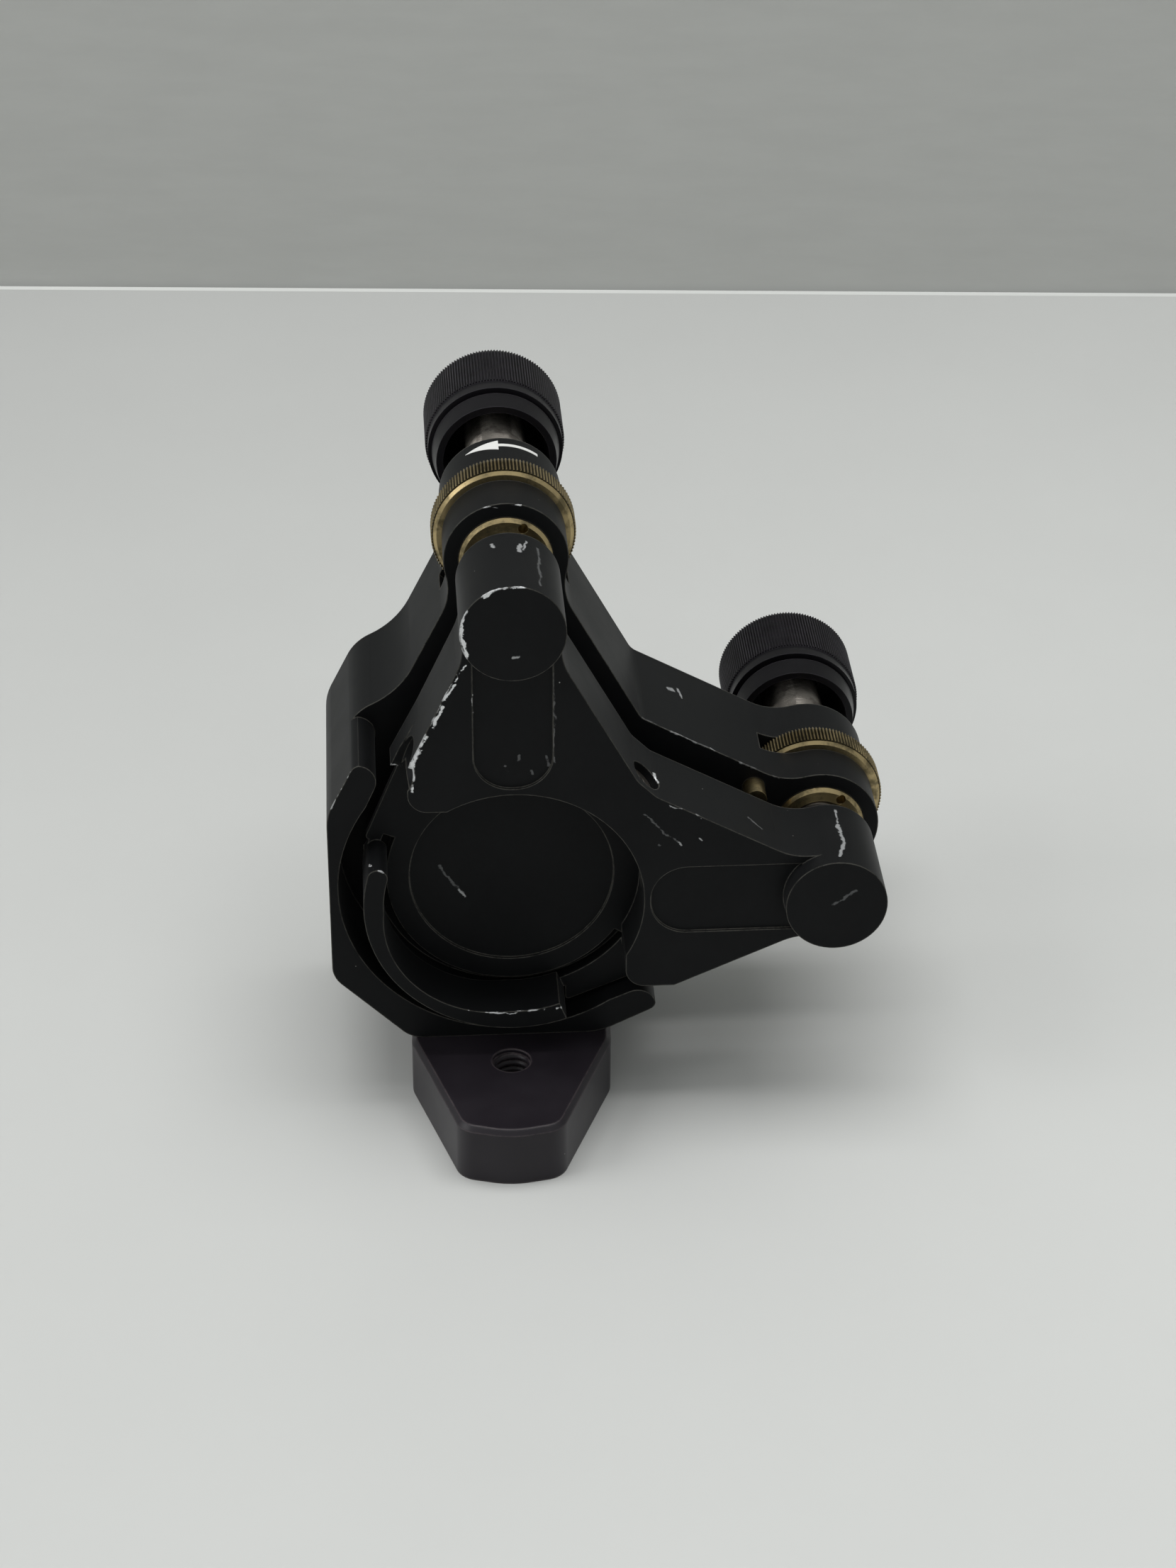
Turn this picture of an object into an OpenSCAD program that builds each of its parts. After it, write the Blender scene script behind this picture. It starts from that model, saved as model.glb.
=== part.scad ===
// Kinematic mirror mount: a back plate on a turned foot, a front plate that tilts on a
// pivot ball, and two fine-thread adjusters with lock rings.
// X runs to the right, Y to the back and Z up. The origin is on the optic axis, in the
// raised front face of the front plate.

/* [Layout] */
// Distance from the pivot to each adjuster
adjuster_reach = 31.75; // [31:0.05:33]
// Space between the front plate and the back plate
plate_gap = 4; // [3.8:0.05:4.4]

/* [Optic cell] */
// Radius of the bore that holds the optic
bore_r = 12.85; // [12.7:0.01:12.95]
// Depth of the seat behind the raised front face
seat_depth = 5.6; // [5.2:0.1:6]
// Radius of the shallow recess in the seat
recess_r = 10.22; // [9.5:0.01:11]
// Depth of that recess
recess_depth = 0.3; // [0.2:0.05:0.5]
// Outer radius of the lip
lip_outer_r = 14.85; // [14.6:0.01:15]
// Radius of the relief milled into the lip between its two contact lines
relief_r = 11.2; // [11:0.05:11.5]
// Inner radius of the groove round the seat
groove_inner_r = 12.5; // [12.2:0.01:12.6]
// Outer radius of the groove round the seat
groove_outer_r = 13.7; // [13.3:0.01:13.9]
// Depth of the groove below the seat
groove_depth = 1.6; // [1:0.1:1.8]
// Radius of the clamp screw's tapped hole
clamp_hole_r = 1.75; // [1.6:0.01:1.9]
// Radius of the adhesive port in the left flank
port_r = 1.35; // [1:0.01:1.4]

/* [Front plate] */
// Thickness of the front plate behind its raised face
plate_t = 8.8; // [8.5:0.1:9.4]
// Radius of the bosses in front of the adjusters
boss_r = 5.05; // [4.9:0.01:5.3]
// Height of the bosses above the raised face
boss_rise = 1.9; // [1.5:0.1:2.2]
// Half the width of the label pockets
pocket_half = 3.85; // [3.5:0.05:3.95]
// Depth of the label pockets
pocket_depth = 0.3; // [0.2:0.05:0.5]

/* [Back plate] */
// Thickness of the back plate
back_t = 14.1; // [13.8:0.1:14.6]
// Distance from the optic axis to the left side and to the bottom
base_half = 18.2; // [18.1:0.05:18.6]
// Inner radius of the band round the optic cell
band_inner_r = 17.3; // [17.2:0.01:17.4]
// How far the band stands in front of the back plate
band_rise = 9.3; // [9:0.1:9.6]
// Radius of the forked ears
ear_r = 6.1; // [6:0.01:6.4]
// Thickness of the front ear
front_ear_t = 4.95; // [4.8:0.05:5.1]
// Width of the slot for the lock ring
slot_w = 3.03; // [3.01:0.01:3.04]
// Radius of the slot round the adjuster
slot_r = 8.6; // [8.4:0.05:8.7]

/* [Adjusters] */
// Radius of the adjuster screw
screw_r = 3.175; // [3.1:0.005:3.2]
// Radius of the ball in the screw's tip
tip_r = 2.38; // [2.3:0.01:2.4]
// Outer radius of the brass bushings
bushing_r = 4.6; // [4.5:0.01:4.8]
// How far the bushings stand out of the back plate
bushing_rise = 0.45; // [0.3:0.05:0.6]
// Radius of the spanner holes in the front bushings
spanner_hole_r = 0.5; // [0.4:0.05:0.55]
// Outer radius of the lock rings
ring_r = 7.15; // [7:0.01:7.3]
// Thickness of the lock rings
ring_t = 2.93; // [2.9:0.01:2.95]
// Outer radius of the knobs over the knurl
knob_r = 7.18; // [7.1:0.01:7.3]
// Length of the knobs
knob_length = 11.7; // [11.4:0.1:12.4]
// Radius of the hollow in the front of the knobs
knob_hollow_r = 5.45; // [5.2:0.01:5.6]
// Distance from the back plate to the knobs
knob_gap = 6.7; // [6.5:0.1:7]
// How much further back the top knob is pressed on
top_knob_shift = 0.3; // [-0.4:0.05:0.4]
// How much further back the right knob is pressed on
right_knob_shift = -0.35; // [-0.4:0.05:0.4]

/* [Foot] */
// Thickness of the foot
foot_t = 6.4; // [5.8:0.1:7.6]
// Width of the foot
foot_w = 20.3; // [20:0.1:21]
// Angle by which each flank of the foot tapers
foot_taper = 19.5; // [18:0.1:20]
// Distance from the foot's screw to the tip of its nose
foot_nose = 28.4; // [28.2:0.1:29]
// Distance from the foot's screw to its back edge
foot_tail = 11.4; // [11:0.1:12]
// Angle by which the foot is turned about its screw
foot_turn = 2.6; // [0:0.1:4]
// How far the foot sits to the right on its screw
foot_shift = 0.3; // [0:0.05:0.4]
// Distance of the foot's screw behind the raised front face
foot_screw_y = 15.5; // [15.2:0.1:18]
// Distance between the foot's screw and the post hole
post_hole_offset = 16.5; // [15:0.1:17]
// Radius of the tapped post hole
post_hole_r = 1.95; // [1.9:0.01:2.1]
// Height of the chamfer round the top edge of the foot
foot_chamfer = 0.5; // [0.3:0.1:0.7]

/* [Hidden] */
$fn = 96;

// Gap between two pieces that are fixed to each other, and between two that run on each other
fixed_gap = 0.02;
running_gap = 0.04;

// Stations along Y
back_y = plate_t + plate_gap;
rear_y = back_y + back_t;
band_y = back_y - band_rise;
slot_y = back_y + front_ear_t;
pivot_y = plate_t + plate_gap / 2;
foot_z = -base_half - foot_t;

// Flanks of the arms: half width at the adjuster, and lean away from the arm's own axis
front_inner = [2.31, 28.7];
front_outer = [3.0, 24.7];
back_inner = [3.35, 28.7];
back_outer = [3.475, 26.6];
neck_r = 6;
neck_past = 0.2;

// How far an arc crosses a line or an arc that it would only touch
bite = 0.002;
arm_centre = [0, adjuster_reach];

// Places on the optic cell, as angles round the optic axis
lip_start = 165;
lip_end = 290.5;
groove_end = 326;
facet_reach = 18.38;
relief_shift = 2.4;
clamp_y = 2.65;
wall_x = 10.25;
wall_foot = 11.1;
port_y = 2.7;
port_start = [-wall_x, 14.6];
port_angle = -20;
port_mouth_r = 3.15;
port_depth = 8.5;
ledge_z = 13.2;
pocket_end = 13.5;
skirt_y = seat_depth + 0.8;

// Pivot and tips
pivot_r = plate_gap / 2 + 1.175;
cup_r = 4;
cup_depth = 2.2;
tip_y = plate_t + tip_r + running_gap / 2;
pad_r = 3.3;
pad_depth = 2.3;
v_rise = 0.9;
screw_start = tip_y + 1.9;
screw_end = rear_y + knob_gap + knob_length - 0.3;
screw_hex_r = 1.39;
screw_hex_depth = 2.5;

// Left side of the back plate down to the diagonal, its shoulder with the radius of both arcs as
// shares of the run between them, and the open ends of the band
base_corners = [[-base_half, 8.8, 6], [-base_half, -10.4, 3]];
shoulder = [3.2 - base_half, 15.2];
shoulder_slope = 25.4;
shoulder_share = 1.06342;
shoulder_neck_share = 1.91416;
band_top = 14.5;
band_end = -12.2;
band_end_r = 1.9;

// Clamp screw with its soft tip, measured out from the bore
clamp_tip_gap = 0.15;
clamp_tip_t = 1.4;
clamp_tip_r = 0.7 * clamp_hole_r;
clamp_screw_gap = 0.75;
clamp_screw_t = 4;
clamp_socket_r = 0.87;
clamp_socket_t = 2;

// Tilt stop
stop_place = [24.9, 4.9];
stop_r = 1.1;
stop_rise = 2.55;
stop_seat = 3;

// Foot screw and the bend of the foot's flanks
foot_screw_r = 1.95;
foot_screw_reach = 8;
foot_head_r = 3.4;
foot_head_t = 3.85;
foot_head_sink = 0.35;
foot_recess_r = 3.9;
foot_socket_r = 1.73;
foot_socket_t = 1.85;
foot_bend = 12.9;

// Springs and their pins
spring_z = 20;
spring_hole_r = 2.5;
coil_r = 1.7;
wire_r = 0.35;
loop_r = 1.2;
pin_r = 0.7;
front_pin_y = 4;
back_pin_y = rear_y - 1;
pin_half = 3.4;

// Knurls
knob_teeth = 144;
ring_teeth = 124;
tooth_depth = 0.2;
tooth_root = 0.05;

anodise = "#3a3c3f";
foot_anodise = "#3b3440";
steel = "#b9b8b2";
brass = "#b39a5a";
black = "#2b2c2e";
nylon = "#e8e6dc";

function unit(v) = v / norm(v);
function place(corner) = [corner[0], corner[1]];

// The same corners on the other side of the diagonal X = Z, in the order that closes the outline
function swapped(corners) = [for (i = [len(corners) - 1 : -1 : 0])
    [corners[i][1], corners[i][0], corners[i][2]]];

// Half width of an arm at height z on one flank
function flank_x(flank, z) = flank[0] + tan(flank[1]) * (adjuster_reach - z);

// Height at which the line through p that climbs by slope meets the outer flank on the left
function shoulder_z(p, slope, flank) =
    (p[1] - slope * (flank[0] + p[0] + tan(flank[1]) * adjuster_reach))
    / (1 - slope * tan(flank[1]));

// Positive where corner i of an outline points outwards
function turn(corners, i) =
    let (n = len(corners))
    let (before = place(corners[i]) - place(corners[(i + n - 1) % n]))
    let (after = place(corners[(i + 1) % n]) - place(corners[i]))
    before[0] * after[1] - before[1] * after[0];

// The piece between corner i and the arc that rounds it. It runs on a little past the corner,
// and the arc crosses both sides by a hair.
module corner_wedge(corners, i) {
    n = len(corners);
    corner = place(corners[i]);
    r = corners[i][2];
    back = unit(place(corners[(i + n - 1) % n]) - corner);
    ahead = unit(place(corners[(i + 1) % n]) - corner);
    half = acos(back * ahead) / 2;
    middle = unit(back + ahead);
    centre = corner + middle * r / sin(half);
    difference() {
        polygon([corner - middle, corner + back * r / tan(half), centre,
            corner + ahead * r / tan(half)]);
        translate(centre) circle(r + bite);
    }
}

// Closed outline from corners given as X, Z and the radius of the corner
module rounded_outline(corners) {
    last = len(corners) - 1;
    difference() {
        union() {
            polygon([for (c = corners) place(c)]);
            for (i = [0 : last]) if (corners[i][2] > 0 && turn(corners, i) < 0) corner_wedge(corners, i);
        }
        for (i = [0 : last]) if (corners[i][2] > 0 && turn(corners, i) > 0) corner_wedge(corners, i);
    }
}

// Centre of the hollow arc between one flank of the top arm and the arm's round end. The arc
// bites into both by a hair, so that they cross. side is 1 on the right and -1 on the left.
function neck_centre(flank, side, end_r) =
    let (along = [-side * sin(flank[1]), cos(flank[1])])
    let (rise = neck_r - bite + flank[0] * cos(flank[1]))
    let (back = sqrt(pow(end_r + neck_r - bite, 2) - pow(rise, 2)))
    arm_centre + rise * out_of(flank, side) - back * along;

function out_of(flank, side) = [side * cos(flank[1]), sin(flank[1])];

// Corners of one side of the arm, where the neck leaves the flank and just past the place
// where it meets the round end
function neck_corners(flank, side, end_r) =
    let (centre = neck_centre(flank, side, end_r))
    let (foot = centre - neck_r * out_of(flank, side))
    let (top = arm_centre + (centre - arm_centre) * (end_r + neck_past) / (end_r + neck_r))
    [[foot[0], foot[1], 0], [top[0], top[1], 0]];

// The arm's corners run into the middle of its round end
function arm_corners(inner, outer, end_r) =
    let (left = neck_corners(outer, -1, end_r))
    concat(neck_corners(inner, 1, end_r), [[arm_centre[0], arm_centre[1], 0], left[1], left[0]]);

// Puts something round at each point and at the same point of the other arm
module on_both_arms(points) {
    for (p = points) {
        translate(p) children();
        translate([p[1], p[0]]) children();
    }
}

// Outline with two arms that each swell to a round end
module two_armed_outline(corners, inner, outer, end_r) {
    difference() {
        union() {
            rounded_outline(corners);
            on_both_arms([arm_centre]) circle(end_r);
        }
        on_both_arms([neck_centre(inner, 1, end_r), neck_centre(outer, -1, end_r)]) circle(neck_r);
    }
}

// Extrudes an outline drawn in X and Z from one station along Y to the next
module along_y(start, end) {
    translate([0, end, 0]) rotate([90, 0, 0]) linear_extrude(end - start) children();
}

// Round bar along Y
module rod(r, start, end) {
    translate([0, end, 0]) rotate([90, 0, 0]) cylinder(h = end - start, r = r);
}

// Turned piece round the Y axis, from a profile in radius and Y
module turned(profile) {
    rotate([-90, 0, 0]) rotate_extrude() polygon(profile);
}

// Round bar in the plane of the plates, from a point in X and Z along an angle
module cross_rod(start, angle, y, r, length) {
    translate([start[0], y, start[1]]) rotate([0, 90 - angle, 0]) cylinder(h = length, r = r);
}

// Moves a part that is drawn on the Y axis to the top adjuster
module at_top() {
    translate([0, 0, adjuster_reach]) children();
}

// Puts a part of the top arm on the right arm
module on_right() {
    mirror([1, 0, -1]) children();
}

// Ring of straight teeth along Y
module knurl(r, teeth, start, end) {
    step = 180 / teeth;
    along_y(start, end) polygon([for (i = [0 : 2 * teeth - 1])
        (r - tooth_depth * (i % 2)) * [cos(i * step), sin(i * step)]]);
}

// Sector of a disc between two angles under 180 degrees apart
module sector(start, end, r) {
    reach = r / cos((end - start) / 4);
    middle = (start + end) / 2;
    polygon([[0, 0], r * [cos(start), sin(start)],
        reach * [cos((start + middle) / 2), sin((start + middle) / 2)], r * [cos(middle), sin(middle)],
        reach * [cos((end + middle) / 2), sin((end + middle) / 2)], r * [cos(end), sin(end)]]);
}

/* ---- front plate ---- */

module raised_outline() {
    lean = tan(front_inner[1]);
    facet_z = (facet_reach * sqrt(2) - front_inner[0] - lean * adjuster_reach) / (1 - lean);
    wall_top = adjuster_reach - (wall_x - front_outer[0]) / tan(front_outer[1]);
    half = concat([[flank_x(front_inner, facet_z), facet_z, 2.5]],
        arm_corners(front_inner, front_outer, boss_r),
        [[-wall_x, wall_top, 0.3], [-wall_x, wall_foot, 2], [-6, wall_foot, 0]]);
    two_armed_outline(concat(half, [[0, 0, 0]], swapped(half)), front_inner, front_outer, boss_r);
}

// Flange behind the raised part, level with the seat
module flange_outline() {
    circle(lip_outer_r);
    rounded_outline([[-8.9, 18.9, 0], [-11.8, ledge_z, 0], [-11.1, ledge_z, 0], [-14.5, 4.9, 0.4],
        [-13.6, 4.4, 0], [0, 0, 0], [0, 14, 0]]);
    rounded_outline([[5.4, -12, 0], [5.4, -15.6, 0.3], [14.2, -11.85, 1], [16, -9, 0], [0, 0, 0]]);
}

module lip_outline() {
    difference() {
        intersection() {
            circle(lip_outer_r);
            union() {
                sector(lip_start, 230, 20);
                sector(220, lip_end, 20);
            }
        }
        circle(bore_r);
        translate(relief_shift * [cos(225), sin(225)]) circle(relief_r);
    }
}

module lip() {
    end_r = (lip_outer_r - bore_r) / 2;
    middle_r = bore_r + end_r;
    along_y(0, seat_depth) {
        lip_outline();
        translate(middle_r * [cos(lip_start), sin(lip_start)]) circle(end_r + bite);
    }
}

module label_pocket() {
    along_y(-1, pocket_depth) rounded_outline([[-pocket_half, pocket_end, pocket_half - 0.2],
        [pocket_half, pocket_end, pocket_half - 0.2], [pocket_half, adjuster_reach, 0],
        [-pocket_half, adjuster_reach, 0]]);
}

module groove() {
    along_y(seat_depth, seat_depth + groove_depth) difference() {
        intersection() {
            circle(groove_outer_r);
            union() {
                sector(157.5, 250, 20);
                sector(240, groove_end, 20);
            }
        }
        circle(groove_inner_r);
    }
}

// Adhesive port with a wide mouth that nicks the edge of the raised face
module port() {
    translate([port_start[0], port_y, port_start[1]]) rotate([0, 90 - port_angle, 0])
        rotate_extrude() polygon([[0, -2], [port_mouth_r, -2], [port_mouth_r, 0],
            [port_r, port_mouth_r - port_r], [port_r, port_depth], [0, port_depth]]);
}

module front_plate() color(anodise) {
    difference() {
        union() {
            along_y(0, plate_t) raised_outline();
            along_y(seat_depth, plate_t) flange_outline();
        }
        rod(bore_r, -1, seat_depth);
        rod(recess_r, seat_depth - 1, seat_depth + recess_depth);
        groove();
        label_pocket();
        on_right() label_pocket();
        along_y(skirt_y, plate_t + 1) polygon([[-9.8, ledge_z - 0.4], [-12.4, ledge_z - 0.4],
            [-17, 2], [-14.6, 2]]);
        cross_rod((facet_reach + 2) * [cos(45), sin(45)], 225, clamp_y, clamp_hole_r,
            facet_reach + 3 - bore_r);
        port();
        rod(cup_r, plate_t - cup_depth, plate_t + 1);
        front_arm_holes();
        on_right() front_arm_holes();
    }
    lip();
    at_top() rod(boss_r, -boss_rise, plate_t - pad_depth);
    on_right() at_top() rod(boss_r, -boss_rise, plate_t - pad_depth);
}

module front_arm_holes() {
    at_top() rod(pad_r, plate_t - pad_depth, plate_t + 1);
    translate([0, 0, spring_z]) rod(spring_hole_r, 2.2, plate_t + 1);
    cross_rod([0, bore_r - 2], 90, front_pin_y, pin_r + fixed_gap, spring_z + pin_half + 2 - bore_r);
}

module pin(color_name, start, angle, y, length) {
    color(color_name) cross_rod(start, angle, y, pin_r, length);
}

module top_front_pin() pin(steel, [0, spring_z - pin_half - 1], 90, front_pin_y, 2 * pin_half + 1);
module right_front_pin() on_right() top_front_pin();

module front_pivot_cup() color(steel) difference() {
    rod(cup_r - fixed_gap, plate_t - cup_depth, plate_t);
    translate([0, pivot_y, 0]) sphere(pivot_r + running_gap);
}

module pivot_ball() color(steel) translate([0, pivot_y, 0]) sphere(pivot_r);

// Pad with a V groove that points at the pivot
module v_seat() color(steel) at_top() {
    groove_y = tip_y - (tip_r + running_gap) * sqrt(2);
    wide = plate_t + v_rise - groove_y + 0.5;
    difference() {
        rod(pad_r - fixed_gap, plate_t - pad_depth, plate_t + v_rise);
        translate([0, 0, -pad_r - 1]) linear_extrude(2 * pad_r + 2)
            polygon([[0, groove_y], [wide, groove_y + wide], [-wide, groove_y + wide]]);
    }
}

module flat_seat() color(steel) on_right() at_top() {
    rod(pad_r - fixed_gap, plate_t - pad_depth, plate_t);
}

// Moves a part that is drawn on the Z axis out along the clamp screw's axis
module on_clamp_axis(out) {
    rotate([0, 45, 0]) translate([0, clamp_y, out]) children();
}

module clamp_screw() color(steel) on_clamp_axis(bore_r + clamp_screw_gap) difference() {
    cylinder(h = clamp_screw_t, r = clamp_hole_r - running_gap);
    tip_depth = clamp_tip_gap + clamp_tip_t + running_gap - clamp_screw_gap;
    translate([0, 0, -1]) cylinder(h = tip_depth + 1, r = clamp_tip_r);
    translate([0, 0, clamp_screw_t - clamp_socket_t])
        cylinder(h = clamp_socket_t + 1, r = clamp_socket_r, $fn = 6);
}

module clamp_tip() color(nylon) on_clamp_axis(bore_r + clamp_tip_gap)
    cylinder(h = clamp_tip_t, r = clamp_tip_r - running_gap);

/* ---- back plate ---- */

// Place on the line from the side up to the shoulder
function below_shoulder(z) =
    let (side = place(base_corners[0]))
    side + (place(shoulder) - side) * (z - side[1]) / (shoulder[1] - side[1]);

module back_outline() {
    lean = tan(back_inner[1]);
    inner_corner = (back_inner[0] + lean * adjuster_reach) / (1 + lean);
    neck_z = shoulder_z(shoulder, tan(shoulder_slope), back_outer);
    neck = [-flank_x(back_outer, neck_z), neck_z];
    run = norm(neck - shoulder);
    half = concat(arm_corners(back_inner, back_outer, ear_r),
        [[neck[0], neck[1], shoulder_neck_share * run], [shoulder[0], shoulder[1], shoulder_share * run]],
        base_corners);
    two_armed_outline(concat([[inner_corner, inner_corner, 2]], half, swapped(half)),
        back_inner, back_outer, ear_r);
}

// Region in front of the back plate that the band leaves free
module clear_of_band() {
    reach = 2 * adjuster_reach;
    outer = below_shoulder(band_top);
    half = [[-reach, reach, 0], [-reach, band_top, 0], [band_end, band_top, band_end_r], [-14.5, 9.3, 0]];
    edge = [[band_end, band_top, 0], [outer[0], outer[1], 1.1], base_corners[0]];
    rounded_outline(concat([[reach, reach, 0]], half, [[0, 0, 0]], swapped(half)));
    corner_wedge(edge, 1);
    corner_wedge(swapped(edge), 1);
    circle(band_inner_r);
}

module back_arm_holes() {
    at_top() {
        rod(bushing_r, back_y - 1, rear_y + 1);
        rod(slot_r, slot_y, slot_y + slot_w);
    }
    translate([0, 0, spring_z]) {
        rod(spring_hole_r, back_y - 1, rear_y + 1);
        translate([-pin_half - 0.1, back_pin_y - pin_r - fixed_gap, -pin_r - fixed_gap])
            cube([2 * pin_half + 0.2, 3, 2 * (pin_r + fixed_gap)]);
    }
}

module back_plate() color(anodise) difference() {
    along_y(band_y, rear_y) back_outline();
    along_y(band_y - 1, back_y) clear_of_band();
    back_arm_holes();
    on_right() back_arm_holes();
    rod(cup_r, back_y - 1, back_y + cup_depth);
    translate([stop_place[0], 0, stop_place[1]]) rod(stop_r + fixed_gap, back_y - 1, back_y + stop_seat);
    translate([0, foot_screw_y, -base_half - 1])
        cylinder(h = foot_screw_reach + 2, r = foot_screw_r + fixed_gap);
}

module tilt_stop() color(brass) translate([stop_place[0], 0, stop_place[1]])
    rod(stop_r, back_y - stop_rise, back_y + stop_seat);

module back_pivot_cup() color(steel) difference() {
    rod(cup_r - fixed_gap, back_y, back_y + cup_depth);
    translate([0, pivot_y, 0]) sphere(pivot_r + running_gap);
}

module top_back_pin() pin(steel, [-pin_half, spring_z], 0, back_pin_y, 2 * pin_half);
module right_back_pin() on_right() top_back_pin();

// Close coils turned as one sleeve with a scalloped wall, and a loop at each end
module spring() color(steel) translate([0, 0, spring_z]) {
    front_loop_y = front_pin_y + loop_r - wire_r - pin_r - running_gap;
    back_loop_y = back_pin_y - (loop_r - wire_r - pin_r - running_gap);
    coil_start = front_loop_y + loop_r;
    coil_end = back_loop_y - loop_r;
    turns = floor((coil_end - coil_start) / (2 * wire_r));
    pitch = (coil_end - coil_start) / turns;
    rotate([-90, 0, 0]) rotate_extrude() {
        for (i = [0 : turns]) translate([coil_r, coil_start + i * pitch]) circle(wire_r, $fn = 16);
        translate([coil_r - wire_r / 2, coil_start]) square([wire_r, coil_end - coil_start]);
        translate([0, coil_start - wire_r / 2]) square([coil_r, wire_r]);
        translate([0, coil_end - wire_r / 2]) square([coil_r, wire_r]);
    }
    translate([0, front_loop_y, 0]) rotate_extrude() translate([loop_r, 0]) circle(wire_r, $fn = 16);
    translate([0, back_loop_y, 0]) rotate([0, 90, 0]) rotate_extrude() translate([loop_r, 0])
        circle(wire_r, $fn = 16);
}

module top_spring() spring();
module right_spring() on_right() spring();

/* ---- adjusters ---- */

module spanner_holes(angle) {
    for (side = [0, 180]) rotate([0, -angle - side, 0]) translate([(screw_r + bushing_r) / 2, 0, 0])
        rod(spanner_hole_r, back_y - 1, back_y + 1);
}

module front_bushing(angle) color(brass) difference() {
    front = back_y - bushing_rise;
    turned([[screw_r + running_gap, front], [bushing_r - 0.35, front], [bushing_r - fixed_gap, front + 0.35],
        [bushing_r - fixed_gap, slot_y], [screw_r + running_gap, slot_y]]);
    spanner_holes(angle);
}

module rear_bushing() color(brass) {
    start = slot_y + slot_w;
    end = rear_y + bushing_rise;
    turned([[screw_r + running_gap, start], [bushing_r - fixed_gap, start],
        [bushing_r - fixed_gap, end - 0.35], [bushing_r - 0.35, end], [screw_r + running_gap, end]]);
}

module top_front_bushing() at_top() front_bushing(65);
module right_front_bushing() on_right() at_top() front_bushing(32);
module top_rear_bushing() at_top() rear_bushing();
module right_rear_bushing() on_right() at_top() rear_bushing();

module lock_ring() color(brass) {
    start = slot_y + (slot_w - ring_t) / 2;
    end = start + ring_t;
    core = ring_r - tooth_depth - tooth_root;
    bevel = 0.3;
    turned([[screw_r + running_gap, start], [core - bevel, start], [core, start + bevel],
        [core, end - bevel], [core - bevel, end], [screw_r + running_gap, end]]);
    difference() {
        knurl(ring_r, ring_teeth, start + bevel, end - bevel);
        rod(core - 1, start, end);
    }
}

module top_lock_ring() at_top() lock_ring();
module right_lock_ring() on_right() at_top() lock_ring();

module tip_ball() color(steel) translate([0, tip_y, 0]) sphere(tip_r);

module top_tip_ball() at_top() tip_ball();
module right_tip_ball() on_right() at_top() tip_ball();

module adjuster_screw() color(steel) difference() {
    turned([[0, screw_start], [screw_r - 0.63, screw_start], [screw_r, screw_start + 0.6],
        [screw_r, screw_end - 0.4], [screw_r - 0.4, screw_end], [0, screw_end]]);
    translate([0, tip_y, 0]) sphere(tip_r + running_gap);
    translate([0, screw_end + 1, 0]) rotate([90, 0, 0])
        cylinder(h = screw_hex_depth + 1, r = screw_hex_r, $fn = 6);
}

module top_screw() at_top() adjuster_screw();
module right_screw() on_right() at_top() adjuster_screw();

module knob(shift) color(black) translate([0, rear_y + knob_gap + shift, 0]) {
    bore = screw_r + fixed_gap;
    front_r = knob_r - 1.03;
    flare_r = knob_r - 0.63;
    groove_r = knob_r - 0.98;
    groove_y = 2.3;
    band_y = 2.8;
    knurl_y = 4.4;
    web_y = 8.4;
    core = knob_r - tooth_depth - tooth_root;
    edge = 0.4;
    dish_r = 4.2;
    dish_y = knob_length - 0.6;
    turned([[bore, web_y], [knob_hollow_r, web_y], [knob_hollow_r, 0], [front_r, 0],
        [flare_r, groove_y], [groove_r, groove_y], [groove_r, band_y], [core, band_y],
        [core, knob_length - edge], [core - edge, knob_length], [dish_r, knob_length],
        [dish_r, dish_y], [bore, dish_y]]);
    difference() {
        knurl(knob_r, knob_teeth, knurl_y, knob_length - 0.3);
        rod(core - 1, knurl_y - 1, knob_length);
    }
}

module top_knob() at_top() knob(top_knob_shift);
module right_knob() on_right() at_top() knob(right_knob_shift);

/* ---- foot ---- */

// Outline of the foot seen from above, with its screw at the origin, drawn in by inset
module foot_outline(inset) {
    half = foot_w / 2 - inset;
    lean = tan(foot_taper);
    bend = -foot_bend + inset * tan(foot_taper / 2);
    corner_y = inset - foot_nose + 1;
    corner_x = half + lean * (corner_y - bend);
    right = [[corner_x, corner_y, 2.5 - inset], [half, bend, 4 - inset],
        [half, foot_tail - inset, 4 - inset]];
    left = [for (i = [2 : -1 : 0]) [-right[i][0], right[i][1], right[i][2]]];
    rounded_outline(concat([[0, -foot_nose - 0.2 + inset, 8 - inset]], right, left));
}

module foot() color(foot_anodise) translate([foot_shift, foot_screw_y, foot_z]) rotate(-foot_turn)
    difference() {
        union() {
            linear_extrude(foot_t - foot_chamfer) foot_outline(0);
            hull() {
                translate([0, 0, foot_t - foot_chamfer - 0.1]) linear_extrude(0.1) foot_outline(0);
                translate([0, 0, foot_t - 0.01]) linear_extrude(0.01) foot_outline(foot_chamfer);
            }
        }
        translate([0, -post_hole_offset, -1]) cylinder(h = foot_t + 2, r = post_hole_r);
        translate([0, 0, -1]) cylinder(h = foot_t + 2, r = foot_screw_r + 0.4);
        translate([0, 0, -1]) cylinder(h = foot_head_sink + foot_head_t + 1, r = foot_recess_r);
    }

module foot_screw() color(steel) translate([0, foot_screw_y, foot_z]) difference() {
    union() {
        translate([0, 0, foot_head_sink]) cylinder(h = foot_head_t, r = foot_head_r);
        translate([0, 0, foot_head_sink])
            cylinder(h = foot_t + foot_screw_reach - foot_head_sink, r = foot_screw_r);
    }
    translate([0, 0, foot_head_sink - 1]) cylinder(h = foot_socket_t + 1, r = foot_socket_r, $fn = 6);
}

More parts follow.
